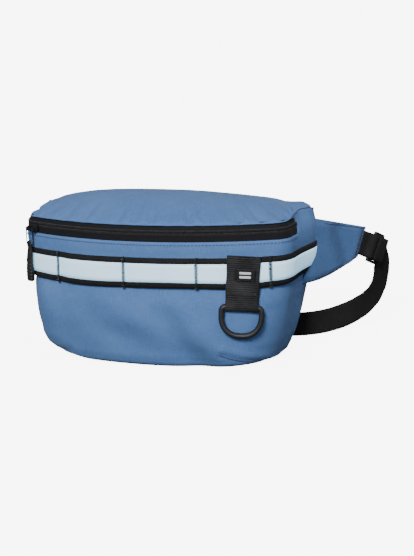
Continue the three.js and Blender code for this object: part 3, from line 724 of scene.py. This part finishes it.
def top_point(u, t):
    """Point of the top panel; t runs from the zip, 0, to the back seam, 1."""
    edge, n = outline(u, LID_EDGE_Z)
    arc = arc_at(u, LID_EDGE_Z)
    if edge.y > ZIP_END_Y:
        side = 1 if u > 0 else -1
        x, z = seam_top(side, edge.y)
        edge = Vector((side * x, edge.y, z))
    at_zip = smooth((ZIP_END_Y + 4 - edge.y) / 8)
    x = edge.x + (u * LID_HALF - edge.x) * t
    y = edge.y + (BACK_Y - edge.y) * t
    dome = math.sin(math.pi * t)
    z = edge.z + (read(BACK_TOP, x) - edge.z) * math.sin(math.pi / 2 * t)
    z += 5.5 * math.sin(math.pi * t ** 0.85) * (1 - (x / LID_HALF) ** 2)
    # the crest drops into a notch before the right rear corner stands up again
    z -= bump(x, 113, 6) * smooth((t - 0.25) / 0.5) * math.sin(math.pi * min(t, 0.9))
    # gathered puckers above the zip that fade upwards
    strength = at_zip * math.exp(-t / 0.33) * smooth(t / 0.06)
    slant = arc + 26 * t
    wide = math.sin(2 * math.pi * slant / 21 + 1.7 * math.sin(arc / 31))
    narrow = math.sin(2 * math.pi * slant / 11.5 + 2.2 * math.sin(arc / 19))
    folds = wide * (0.6 + 0.6 * soft_noise(arc, 0, 30, 2.0))
    folds += 0.5 * narrow * (0.5 + soft_noise(arc, 9, 24, 6.0))
    z += 1.9 * strength * folds
    z += (1.3 * soft_noise(x, y * 1.2, 36, 4.4) + 0.5 * soft_noise(x, y, 14, 9.1)) * dome
    # the edge over the zip is turned under and lies on the tape
    out = 1.2 * strength * folds + at_zip * (0.7 + 0.7 * bump(t, 0.03, 0.035))
    out -= 3.2 * at_zip * smooth((-u - 0.58) / 0.14) * math.exp(-t / 0.12)
    z -= 0.9 * at_zip * math.exp(-t / 0.02)
    return Vector((x, y, z)) + n * out, (139.5 * u, 70 * t)


TOP_TS = [0, 0.012, 0.03, 0.055, 0.085, 0.12, 0.16, 0.2, 0.245, 0.295, 0.35, 0.41, 0.48, 0.55, 0.63, 0.71,
          0.79, 0.87, 0.94, 1.0]
TOP_US = [round(float(u), 5) for u in spaced(240, -1)]
CUT_U = -0.25  # the top panel, tape and coil are in two pieces that meet where both follow the lid


def lid_piece(name, make, node):
    """Left and right half of something that is sewn at the zip's ends, built as two pieces that meet at CUT_U.
    """
    left = make(name + "_left", [u for u in TOP_US if u <= CUT_U + 1e-6], (True, False))
    right = make(name + "_right", [u for u in TOP_US if u >= CUT_U - 1e-6], (False, True))
    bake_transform(left)
    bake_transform(right)
    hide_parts(node)


def make_top(name, us, ends):
    rows, flats = sheet(top_point, us, TOP_TS)
    return cloth(name, rows, 0.9, blue, flats, ends)


lid_piece("top_cloth", make_top, "top_panel")

# ---- zip
COIL_LOW_Z, COIL_HIGH_Z = 133.9, 137.4
TOOTH_PITCH = 1.45
TOOTH_RING = [(-0.5, 0.0), (-0.42, 0.42), (0.0, 0.6), (0.42, 0.42), (0.5, 0.0), (0.0, -0.3)]


def zip_us(us):
    return [u for u in us if outline(u, ZIP_Z)[0].y < ZIP_END_Y + 1.2]


def tape_cloth(name, us, z0, z1, out0, out1, ends=(True, True)):
    """Tape between two heights, with its offset from the outline at its lower and upper edge."""
    def spot(u, t):
        z = z0 + (z1 - z0) * t
        arc = arc_at(u, ZIP_Z)
        p, n = outline(u, z)
        return p + n * (out0 + (out1 - out0) * t + 0.25 * soft_noise(arc, z, 40, 1.5)), (arc, z)

    rows, flats = sheet(spot, zip_us(us), spaced(5))
    return cloth(name, rows, 0.7, tape, flats, ends)


def teeth(name, us, z0, z1, shift):
    """Row of coil turns seen end on: each is a small rounded staple over the tape's edge."""
    first, last = arc_at(us[0], ZIP_Z), arc_at(us[-1], ZIP_Z)
    spans = [(z0, 0.35), (z0 + 0.35 * (z1 - z0), 0.75), (z0 + 0.7 * (z1 - z0), 0.7), (z1, 0.3)]
    verts, faces, uvs = [], [], []
    for i in range(int((last - first) / TOOTH_PITCH)):
        arc = first + TOOTH_PITCH * (i + 0.5 + shift)
        p, n = outline(u_at(arc, ZIP_Z), ZIP_Z)
        along = Vector((-n.y, n.x, 0))
        faces += rod_faces(len(spans), len(TOOTH_RING), len(verts), flip=True)
        for z, fat in spans:
            for a, b in TOOTH_RING:
                verts.append(Vector((p.x, p.y, z)) + along * (a * 1.15) + n * (b * fat * 1.2 - 0.1))
                uvs.append((arc + a, z))
    return build(name, verts, faces, coil, uvs)


def make_tape(name, us, ends):
    return tape_cloth(name, us, COIL_HIGH_Z + 0.4, 145.6, 0.2, -1.6, ends)


def make_teeth(name, us, ends):
    return teeth(name, zip_us(us), COIL_HIGH_Z - 1.1, COIL_HIGH_Z + 2.4, 0.5)


place(tape_cloth("zip_tape_low", TOP_US, 126.6, COIL_LOW_Z + 1.4, -1.2, 0.2), "shell", "zip_tape_lower",
      slot="zip_tape")
lid_piece("zip_tape_high", make_tape, "zip_tape_upper")
place(teeth("zip_teeth_low", zip_us(TOP_US), COIL_LOW_Z - 0.3, COIL_LOW_Z + 3.0, 0.0), "shell",
      "zip_coil_lower", slot="zip_coil")
lid_piece("zip_teeth_high", make_teeth, "zip_coil_upper")

# topstitching along the zip's lower edge and up round its right end
STITCH_Z, STITCH_TURN = 125.2, 5.5
RIGHT = Vector((1, 0, 0))
path = []
for u in spaced(259, -0.985 * abs(u_at(172, RIM_Z)), u_at(166, RIM_Z)):
    p, n = outline(u, STITCH_Z)
    path.append((p + n * (belly(arc_at(u, RIM_Z), STITCH_Z) + 0.1), n))
turn_y = path[-1][0].y
for t in spaced(8, 0, math.pi / 2)[1:]:
    climb = 1 - math.cos(t)
    spot = Vector((142.9 - 0.5 * climb, turn_y + STITCH_TURN * math.sin(t), STITCH_Z + STITCH_TURN * climb))
    path.append((spot, RIGHT))
path += [(Vector((142.2 - 0.26 * k, turn_y + 5.6, 130.7 + k)), RIGHT) for k in range(1, 13)]
place(stitches("zip_topstitch", path, indigo_thread, dash=2.2, gap=1.3, radius=0.34, lift=0.3), "shell")

# ---- band, stripe and bartacks
RIB_PITCH = 1.7
STRIPE_INSET = 5.6
BAND_END = arc_at(1.0, 98.0) - 0.4


def tack_gap(arc):
    return min(abs(arc - a) for a in BARTACK_ARCS)


def band_puff(arc):
    """The band stands off the bag between the bartacks that hold it."""
    return smooth(tack_gap(arc) / 16) * (1.1 + 0.5 * math.sin(arc / 17)) * smooth((186 - abs(arc)) / 20)


def band_cloth(name, z0, z1, arcs, out, steps, thick, material, ribs=0.0):
    """Strip round the bag between two heights. It sways between the bartacks, most at its lower edge."""
    def spot(arc, t):
        flat_z = z0 + (z1 - z0) * t
        z = flat_z + 0.8 * math.sin(arc / 26 + 0.6) * smooth(tack_gap(arc) / 18) * (1 - 0.6 * t)
        p, n = outline(u_at(arc, z), z)
        crown = 1 - ((2 * z - BAND_BOTTOM - BAND_TOP) / (BAND_TOP - BAND_BOTTOM)) ** 2
        rib = ribs * math.sin(2 * math.pi * arc / RIB_PITCH)
        return p + n * (out + band_puff(arc) * (0.75 + 0.25 * crown) + rib), (arc, flat_z)

    rows, flats = sheet(spot, arcs, spaced(steps))
    return cloth(name, rows, thick, material, flats)


arcs = np.arange(-BAND_END, BAND_END, RIB_PITCH / 4)
band = band_cloth("band", BAND_BOTTOM, BAND_TOP, arcs, 1.35, 9, 1.15, web, 0.13)
place(band, "shell", "band_webbing", slot="webbing")
arcs = spaced(299, -BAND_END, BAND_END)
stripe = band_cloth("stripe", BAND_BOTTOM + STRIPE_INSET, BAND_TOP - STRIPE_INSET, arcs, 1.85, 5, 0.3, film)
place(stripe, "shell", "reflective_stripe", slot="reflective")

rng = random.Random(11)
for k, arc in enumerate(BARTACK_ARCS):
    zigzag = []
    z = BAND_BOTTOM - 0.9
    flip = 1
    while z < BAND_TOP + 1.0:
        reach = flip * (1.3 + rng.uniform(-0.25, 0.35))
        p, n = outline(u_at(arc + reach, z), z)
        zigzag.append(p + n * (2.5 + band_puff(arc + reach) + (0.0 if flip > 0 else 0.15)))
        z += 0.42
        flip = -flip
    tack = tube(f"tack_{k + 1}", zigzag, 0.55, black_thread, sides=5)
    place(tack, "shell", f"bartack_{k + 1}", slot="thread")

# ---- tab, label and ring
TAB_HALF = 16.0
TAB_RIB_PITCH = 2.1
BAR_BEND = 4.0
tab_at = (front_place(TAB_ARC, 98) @ moved(0, 0, TAB_LEAN_Z) @ Matrix.Rotation(TAB_LEAN, 4, "Y")
          @ moved(0, 0, -TAB_LEAN_Z))
tab_out = tab_at.to_3x3() @ Vector((0, -1, 0))

# front layer down, round the ring's bar and back up behind, as (y, z)
profile = [(-5.7 - 0.25 * math.sin((z - 70) / 7), z) for z in np.arange(115.6, 73, -0.425)]
profile += [(-5.9 - 4.3 * smooth(t), 73 - 7.5 * t) for t in spaced(19)]
profile += [(RING_BAR_Y - BAR_BEND * math.cos(a), RING_BAR_Z - BAR_BEND * math.sin(a))
            for a in spaced(27, 0, math.pi)[1:]]
profile += [(-2.2 - 1.9 * smooth(t), RING_BAR_Z + 7.5 * t) for t in spaced(17)[1:]]
profile += [(-4.15, z) for z in np.arange(73.5, 115.2, 0.8)]
profile_lengths = running_length(profile)


def tab_spot(x, k):
    """Webbing along the profile, with ribs across it and rolled edges."""
    y, z = profile[k]
    rib = 0.25 * math.sin(2 * math.pi * profile_lengths[k] / TAB_RIB_PITCH)
    y -= rib - 0.35 * (abs(x) / TAB_HALF) ** 6
    return tab_at @ Vector((x * (1 + 0.012 * math.sin(z / 4.1)), y, z)), (profile_lengths[k], x)


rows, flats = sheet(tab_spot, spaced(18, TAB_HALF, -TAB_HALF), range(len(profile)))
place(cloth("tab", rows, 1.25, tab_web, flats), "shell", "tab_webbing", slot="webbing")


def tab_thread(name, x0, x1, y, z, dash=1.7, gap=0.8, radius=0.26, lift=0.3):
    """Level row of stitches on the tab."""
    path = [(tab_at @ Vector((x, y, z)), tab_out) for x in spaced(24, x0, x1)]
    place(stitches(name, path, black_thread, dash, gap, radius, lift), "shell")


def rounded_patch(name, x0, x1, z0, z1, y, thick, corner, material, crown=0.25, cuts=10):
    """Small sewn patch on the tab, with rounded corners and a slightly crowned face."""
    mid_x, mid_z, half_x, half_z = (x0 + x1) / 2, (z0 + z1) / 2, (x1 - x0) / 2, (z1 - z0) / 2

    def spot(x, z):
        dx, dz = x - mid_x, z - mid_z
        past = math.hypot(max(abs(dx) - half_x + corner, 0), max(abs(dz) - half_z + corner, 0))
        pull = 1 - max(past - corner, 0) / max(math.hypot(dx, dz), 1e-6)
        edge = max(abs(dx) / half_x, abs(dz) / half_z)
        return tab_at @ Vector((mid_x + dx * pull, y - crown * (1 - edge ** 4), mid_z + dz * pull)), (x, z)

    rows, flats = sheet(spot, spaced(2 * cuts, x0, x1), spaced(cuts, z0, z1))
    return cloth(name, rows, thick, material, flats)


tab_thread("tab_seam", -14.6, 14.6, -6.05, 78.6)
tab_thread("tab_seam_top", -14.6, 14.6, -6.05, 113.2)
place(rounded_patch("label_patch", -8, 12, 91, 103.5, -6.85, 0.8, 1.2, label_cloth), "shell", "tab_label",
      slot="label")
tab_thread("label_thread_low", -7.2, 11.2, -7.05, 91.9, 1.3, 0.7, 0.2, 0.15)
tab_thread("label_thread_high", -7.2, 11.2, -7.05, 102.6, 1.3, 0.7, 0.2, 0.15)
# plain generic mark: two level bars
for k in range(2):
    low = 93.9 + 3.9 * k
    bar = rounded_patch(f"label_bar_{k + 1}", -3.6, 7.6, low, low + 2.5, -7.3, 0.35, 0.7, mark_paint, 0.05, 4)
    place(bar, "shell")

RING_HALF, RING_SHOULDER, RING_LOW, RING_BEND = 19.25, 9.0, 28.5, 4.0


def ring_points():
    """Straight bar, straight shoulders, and a bow below them."""
    end = RING_HALF - RING_BEND
    bends = spaced(8, 0, math.pi / 2)
    pts = [(x, 0) for x in spaced(14, -end, end)]
    pts += [(end + RING_BEND * math.sin(a), RING_BEND * (math.cos(a) - 1)) for a in bends[1:]]
    for a in spaced(44, 0, math.pi):
        x = math.cos(a)
        pts.append((RING_HALF * math.copysign(abs(x) ** 0.86, x),
                    -RING_SHOULDER - (RING_LOW - RING_SHOULDER) * abs(math.sin(a)) ** 0.9))
    pts += [(-end - RING_BEND * math.cos(a), RING_BEND * (math.sin(a) - 1)) for a in bends[:-1]]
    return [tab_at @ Vector((x, RING_BAR_Y, RING_BAR_Z + z)) for x, z in pts]


ring = tube("ring_d", ring_points(), 3.2, ring_plastic, sides=20, closed=True, squash=0.86, up=tab_out)
place(ring, "ring", "d_ring", slot="ring_plastic")

# ---- wings
# distance from the root, and height of the lower edge
WING_LOW = np.array([(-22, 71.0), (-10, 71.6), (0, 72.4), (14, 75.4), (28, 80.2), (36, 83.0), (42, 85.2),
                     (49, 89.0), (61, 92.0)])


def wing_spot(a, b, front):
    """Point of one face; a runs out from the root and b upwards. The tip's edge is slanted."""
    # the root follows the slope of the bag's side
    root = -4.0 - 16.5 * (1 - b)
    tip = 49.0 + 11.5 * b
    s = root + (tip - root) * a
    low, high = read(WING_LOW, s), 134.8 - 17.2 * s / 60.5
    z = low + (high - low) * b
    rim = min(1.0, min(a * 1.2 + 0.15, 1 - a) * 9) * min(1.0, min(b, 1 - b) * 8)
    rim = math.sin(rim * math.pi / 2)
    fat = 0.9 + 2.4 * rim
    fat += rim * (0.7 * soft_noise(s, z, 20, 12.0 + front) + 0.25 * soft_noise(s, z, 8, 3.0 + front))
    # stitched line along the edges and near the tip
    fat -= 0.6 * (bump(min(b, 1 - b) * (high - low), 3.0, 1.0) + bump((1 - a) * (tip - root), 5.6, 1.0))
    # soft dent that falls from the middle of the top edge to the lower edge
    slant = s + (z - 100) * 0.30
    fat -= 4.0 * bump(slant, 33, 9) * rim * (1 if front > 0 else 0.3)
    fat += (1.5 * bump(slant, 16, 8) + bump(s, 48, 7)) * rim
    return Vector((s, -front * fat, z)), (s, z)


def make_wing(name, side, node):
    at = wing_place(side)
    outer, flats = sheet(lambda a, b: wing_spot(a, b, side), spaced(40), spaced(30))
    inner, _ = sheet(lambda a, b: wing_spot(a, b, -side), spaced(40), spaced(30))
    verts = [at @ p for row in outer + inner for p in row]
    uvs = [flat for row in flats for flat in row] * 2
    # the wings' cloth is the blue darkened as painted shade
    wing = build(name, verts, slab_faces(31, 41, flip=side < 0), wing_blue_painted_shade, uvs)
    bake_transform(wing)
    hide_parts(node)
    out = at.to_3x3() @ Vector((0, -side, 0))

    def at_face(a, b):
        i, j = min(int(a * 40), 39), min(int(b * 30), 29)
        low, high = (outer[row][i].lerp(outer[row][i + 1], a * 40 - i) for row in (j, j + 1))
        return at @ low.lerp(high, b * 30 - j), out

    long_rows = dict(material=indigo_thread, dash=1.5, gap=0.9, radius=0.42)
    lines = {
        "top": ([at_face(a, 0.94) for a in spaced(59, 0.2, 0.975)], long_rows),
        "low": ([at_face(a, 0.06) for a in spaced(59, 0.2, 0.965)], long_rows),
        "tip": ([at_face(0.915, b) for b in spaced(29, 0.14, 0.88)],
                dict(material=black_thread, dash=2.6, gap=0.3, radius=0.6)),
        "edge": ([at_face(0.972, b) for b in spaced(29, 0.08, 0.93)], long_rows),
    }
    for key, (line, how) in lines.items():
        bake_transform(stitches(f"{name}_seam_{key}", line, lift=0.45, **how))


make_wing("wing_pad_right", 1, "wing_right")
make_wing("wing_pad_left", -1, "wing_left")

# ---- back pad, binding and lining
# height, and half the back's width
BACK_HALF = np.array([(0, 98), (1.5, 100.5), (4, 105.5), (8, 110.5), *LEVELS[2:9, :2],
                      (128, 142), (150, 141)])


def back_grid(y_of, across, up, inset):
    def spot(a, b):
        bottom = 1.2 + inset + 6 * abs(a) ** 7
        top = read(BACK_TOP, a * 139) - 1.6 - inset - 3.5 * abs(a) ** 14
        z = bottom + (top - bottom) * b
        x = a * (read(BACK_HALF, z) - inset)
        return Vector((x, y_of(x, z, a, b), z)), (x, z)

    return sheet(spot, spaced(across, -1), spaced(up))


def pad_y(x, z, a, b):
    rim = min(1.0, (1 - abs(a)) * 14) * min(1.0, b * 12, (1 - b) * 14)
    full = math.sin(rim * math.pi / 2)
    # two upright channels and a level one, sewn through
    upright = sum(bump(x, side * (46 + 0.12 * (z - 80)), 3.2) for side in (-1, 1))
    level_one = bump(z, 40, 3.0) * smooth((60 - abs(x)) / 10 + 1)
    return BACK_Y + 0.4 + full * (7.8 - 3.6 * upright - 2.2 * level_one + 0.5 * soft_noise(x, z, 22, 7.0))


def lining_y(x, z, *_):
    return BACK_Y - 0.4 + 0.5 * soft_noise(x, z, 30, 2.5)


rows, flats = back_grid(pad_y, 96, 48, 2.6)
back = cloth("back_pad", turned(rows), 2.0, spacer, turned(flats))
place(back, "shell", "back_panel", "back_foam", slot="back_fabric")
rows, flats = back_grid(lining_y, 60, 24, 1.5)
place(cloth("back_lining_cloth", rows, 0.4, lining, flats), "shell", "back_lining", slot="lining")

# inside of the front, sides and base
rows, flats = body_rows(inset=2.2)
inside = cloth("bag_lining", turned(rows[:-HEM_ROWS - 1]), 0.4, lining, turned(flats[:-HEM_ROWS - 1]))
place(inside, "shell", slot="lining")

# height, and distance of the side seam from the middle
BIND_HALF = np.array([(3, 103), (6, 107.5), (10, 111.3), (16, 115.5), (24, 120.3), (45, 127), (66, 132.3),
                      (84, 136.6), (98, 139), (113, 140.6), (128, 141), (150, 140)])
BIND_HEIGHTS = (146, 142, 136, 128, 113, 98, 84, 66, 45, 34, 24, 16, 10, 6, 3.2)
# binding tape folded over the seam all round the back, as (x, z)
bind = [(x, read(BACK_TOP, x) - 1.4) for x in spaced(89, -139.5, 139.5)]
bind += [(read(BIND_HALF, z), z) for z in BIND_HEIGHTS]
bind += [(x, 2.6) for x in spaced(39, 96, -96)]
bind += [(-read(BIND_HALF, z), z) for z in reversed(BIND_HEIGHTS)]
bind = [(x, BACK_Y + 0.5, z) for x, z in bind]
place(tube("back_binding", bind, 1.3, blue, sides=10, closed=True, squash=1.1, up=Vector((0, 1, 0))), "shell")

# ---- belt


def spline(points, t):
    """Point of a centripetal Catmull-Rom curve at t, from 0 to the number of spans."""
    count = len(points)
    i = min(int(t), count - 2)
    f = t - i
    p1, p2 = points[i], points[i + 1]
    p0 = points[i - 1] if i else p1 * 2 - p2
    p3 = points[i + 2] if i + 2 < count else p2 * 2 - p1
    d1, d2, d3 = (max((b - a).length, 1e-6) ** 0.5 for a, b in ((p0, p1), (p1, p2), (p2, p3)))
    m1 = ((p1 - p0) / d1 - (p2 - p0) / (d1 + d2) + (p2 - p1) / d2) * d2
    m2 = ((p2 - p1) / d2 - (p3 - p1) / (d2 + d3) + (p3 - p2) / d3) * d2
    f2, f3 = f * f, f * f * f
    return (p1 * (2 * f3 - 3 * f2 + 1) + m1 * (f3 - 2 * f2 + f) + p2 * (3 * f2 - 2 * f3) + m2 * (f3 - f2))


def webbing(name, stations, width=25.0, thick=1.4, step=0.43, ribs=0.1, columns=10):
    """Flat webbing along stations of (point, width direction)."""
    points, widths = zip(*stations)
    fine = []
    for i in range(len(points) - 1):
        span = max(2, int((points[i + 1] - points[i]).length / step + 0.5))
        fine += [i + k / span for k in range(span)]
    fine.append(len(points) - 1)
    spots = [spline(points, t) for t in fine]
    lengths = running_length(spots)
    front, behind, uvs = [], [], []
    for i, t in enumerate(fine):
        k = min(int(t), len(points) - 2)
        along = (spots[min(i + 1, len(spots) - 1)] - spots[max(i - 1, 0)]).normalized()
        wide = widths[k].normalized().lerp(widths[k + 1].normalized(), smooth(t - k))
        wide = (wide - along * wide.dot(along)).normalized()
        normal = along.cross(wide)
        rib = ribs * math.sin(2 * math.pi * lengths[i] / RIB_PITCH)
        for across in spaced(columns, -1):
            half = thick / 2 * (1 - 0.45 * abs(across) ** 8)
            spot = spots[i] + wide * (across * width / 2)
            front.append(spot + normal * (half + rib))
            behind.append(spot - normal * (half - rib))
            uvs.append((lengths[i], (across + 1) * width / 2))
    return build(name, front + behind, slab_faces(len(fine), columns + 1, flip=True), web, uvs * 2)


LOCK_BAR_X, LOCK_BAR_Z, LOCK_DROOP, LOCK_FOLD = 67.0, 96.5, math.radians(25), math.radians(28)
DOWN = -Z
stub_at = wing_place(1) @ moved(LOCK_BAR_X, 0, LOCK_BAR_Z) @ Matrix.Rotation(LOCK_DROOP, 4, "Y")
lock_at = stub_at @ Matrix.Rotation(LOCK_FOLD, 4, "Z") @ moved(10, 0, 0)


def stations_in(at, points, across=Z):
    width = at.to_3x3() @ across
    return [(at @ Vector((*p, 0)[:3]), width) for p in points]


LOCK_THREADING = [(13, -5.3), (8, -5.3), (0, -5), (-2.8, -4.1), (-4.2, -1.8), (-4, 0.9), (-2.6, 2.8),
                  (-0.6, 3.1), (1.4, 2.4), (3.2, 0.4), (4.8, -2), (7, -3.1), (11, -3.3)]
BELT_FALL = [
    ((186.8, 132.5, 80), (0.34, 0.62, 0.7)), ((185.4, 138.4, 69), (0.42, 0.8, 0.42)),
    ((183, 141.5, 57), (0.42, 0.9, 0.12)), ((179, 141.5, 45), (0.36, 0.85, -0.38)),
    ((172.5, 138.5, 34.5), (0.26, 0.6, -0.76)), ((162.5, 132, 25.8), (0.1, 0.25, -0.96)),
    ((147, 121, 18.4), DOWN), ((130, 109.5, 14.4), DOWN), ((113, 100, 13.2), DOWN),
    ((96, 93, 13.6), DOWN), ((78, 89.5, 15.4), DOWN),
]
BUCKLE_Y, BUCKLE_Z, BUCKLE_BAR = 88.0, 17.3, 43.7
BELT_END = [(60, 0.95), (53, 1.3), (48, 3), (BUCKLE_BAR, 3.8), (40.9, 2.5), (39.7, 0), (40.9, -2.5),
            (BUCKLE_BAR, -3.8), (48, -3), (53, -1.3), (60, -0.95), (72, -0.95)]
LEFT_START = [(53, 0, 103), (60, 0, 101), (67, 0, 98), (74, 0, 92)]
buckle_at = moved(0, BUCKLE_Y, BUCKLE_Z)
buckle_left_at = buckle_at @ Matrix.Rotation(math.pi, 4, "Z")
fall = [(Vector(p), Vector(w)) for p, w in BELT_FALL]
mirrored = [(p * MIRROR, w * MIRROR) for p, w in fall]
right_belt = stations_in(lock_at, LOCK_THREADING) + fall + stations_in(buckle_at, BELT_END, DOWN)
left_belt = (stations_in(wing_place(-1), LEFT_START) + mirrored
             + stations_in(buckle_left_at, [(x, -y) for x, y in BELT_END], DOWN))
place(webbing("belt_right", right_belt), "right_belt", "strap_right", slot="webbing")
place(webbing("belt_left", left_belt), "left_wing", "strap_left", slot="webbing")

# stub: two layers from inside the wing's tip, folded round the lock's end bar
loop = [(-14, 0.75), (-7, 0.75), (-4.2, 1.9), (-2, 3.1), (0, 3.5), (2.1, 2.8), (3.4, 1.2)]
loop += [(x, -y) for x, y in reversed(loop)]
place(webbing("stub", stations_in(stub_at, loop)), "right_wing", "stub_right", slot="webbing")

for hand, at, side, body in (("right", buckle_at, -1, "right_belt"),
                             ("left", buckle_left_at, 1, "left_wing")):
    out = at.to_3x3() @ Vector((0, side, 0))
    for row, x, y in (("outer", 56.5, 1.9), ("inner", 68, 1.7)):
        path = [(at @ Vector((x, side * y, z)), out) for z in spaced(20, -11, 11)]
        place(stitches(f"hem_{hand}_{row}", path, black_thread, 1.5, 0.7, 0.24, 0.3), body)

# ---- hard parts kept from the frame


def modify(obj, kind, **settings):
    modifier = obj.modifiers.new(kind.lower(), kind)
    for key, value in settings.items():
        setattr(modifier, key, value)


def finish_part(node, material, bevel=0.45):
    """A moulded part of the frame: softened edges and its own finish."""
    obj = NODES[node]
    obj.data.materials.clear()
    obj.data.materials.append(material)
    modify(obj, "WELD", merge_threshold=0.02 * MM)
    modify(obj, "DECIMATE", decimate_type="DISSOLVE", angle_limit=math.radians(1.5))
    modify(obj, "BEVEL", width=bevel * MM, segments=3, limit_method="ANGLE", angle_limit=math.radians(32),
           harden_normals=True)
    for poly in obj.data.polygons:
        poly.use_smooth = True


for node in ("ladder_lock", "buckle_plug", "buckle_socket", "prong_upper", "prong_lower"):
    finish_part(node, plastic)
finish_part("zip_slider", slider_metal, 0.3)
finish_part("pull_loop", wire_metal, 0.05)

# ---- pull grip
slider_at = front_place(SLIDER_ARC, ZIP_Z)
GRIP_SIDES = 28
GRIP_POWER = 0.62  # below 1, the section is squarer than an oval
GRIP_GROOVES = (84, 87.5, 91, 94.5, 98)
# height, and half the grip's width or depth
GRIP_WIDE = np.array([(79.3, 3.0), (79.8, 3.7), (80.8, 4.1), (84, 4.4), (90, 4.4), (97, 3.7), (104, 3.3),
                      (111, 3.2), (113, 3.1), (117, 3.0), (120, 2.4), (121.5, 0.8)])
GRIP_DEEP = np.array([(79.3, 1.7), (80.2, 2.4), (81.5, 2.9), (84, 3.1), (90, 3.0), (97, 2.7), (104, 2.4),
                      (109, 2.1), (112, 1.1), (121.5, 0.9)])


def rounded(value):
    return math.copysign(abs(value) ** GRIP_POWER, value)


def grip():
    """Moulded grip: oval sections that swell towards the end, with finger grooves and a flat eye on top."""
    heights = [*spaced(5, 79.4, 81.0), *spaced(55, 81.6, 110), *spaced(15, 110.6, 121.5)]
    verts, uvs = [], []
    for z in heights:
        groove = 0.42 * sum(bump(z, c, 0.8) for c in GRIP_GROOVES)
        wide, deep = read(GRIP_WIDE, z) - groove * 0.6, read(GRIP_DEEP, z) - groove
        for k in range(GRIP_SIDES):
            a = 2 * math.pi * k / GRIP_SIDES
            x = rounded(math.cos(a)) * wide - 1.6 * smooth((112 - z) / 14)
            verts.append(slider_at @ Vector((x, -9.2 + rounded(math.sin(a)) * deep, z)))
            uvs.append((k, z))
    return build("grip", verts, rod_faces(len(heights), GRIP_SIDES, flip=True), grip_rubber, uvs)


place(grip(), "pull", "pull_grip", slot="pull_rubber")

# ---- floor and light
FLOOR_Z = -0.4
floor_paint = Paint("floor", (0.80, 0.80, 0.80), 0.9, specular=0.0)
floor_paint.feed(floor_paint.shader, "Emission Color", (1.0, 1.0, 1.0))
floor_paint.feed(floor_paint.shader, "Emission Strength", 7.0)
corners = [(x, y, FLOOR_Z) for x, y in ((-12000, -9000), (12000, -9000), (12000, 16000), (-12000, 16000))]
floor = build("floor", corners, [(0, 1, 2, 3)], floor_paint.material, shade=False)
floor.visible_diffuse = False
floor.visible_glossy = False
floor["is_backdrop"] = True

world = bpy.data.worlds.new("studio")
bpy.context.scene.world = world
world.use_nodes = True
sky = world.node_tree
background = sky.nodes["Background"]
coords = sky.nodes.new("ShaderNodeTexCoord")
split = sky.nodes.new("ShaderNodeSeparateXYZ")
shade = sky.nodes.new("ShaderNodeMapRange")
sky.links.new(coords.outputs["Generated"], split.inputs[0])
sky.links.new(split.outputs["Z"], shade.inputs["Value"])
sky.links.new(shade.outputs[0], background.inputs["Strength"])
for key, value in {"From Min": -0.55, "From Max": 0.35, "To Min": 0.06, "To Max": 0.42}.items():
    shade.inputs[key].default_value = value
background.inputs["Color"].default_value = (0.96, 0.98, 1.0, 1)


def sun(name, azimuth, elevation, strength, spread):
    """Soft parallel light from a compass direction; azimuth 0 is in front of the pack, 90 at its right."""
    data = bpy.data.lights.new(name, "SUN")
    data.energy = strength
    data.angle = math.radians(spread)
    lamp = bpy.data.objects.new(name, data)
    a, e = math.radians(azimuth), math.radians(elevation)
    towards = Vector((math.sin(a) * math.cos(e), -math.cos(a) * math.cos(e), math.sin(e)))
    lamp.rotation_mode = "QUATERNION"
    lamp.rotation_quaternion = towards.to_track_quat("Z", "Y")
    bpy.context.scene.collection.objects.link(lamp)


sun("key", 10, 31, 3.5, 16)
sun("fill_right", 75, 25, 0.34, 50)

# ---- bounds of the scene's objects
low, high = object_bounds()
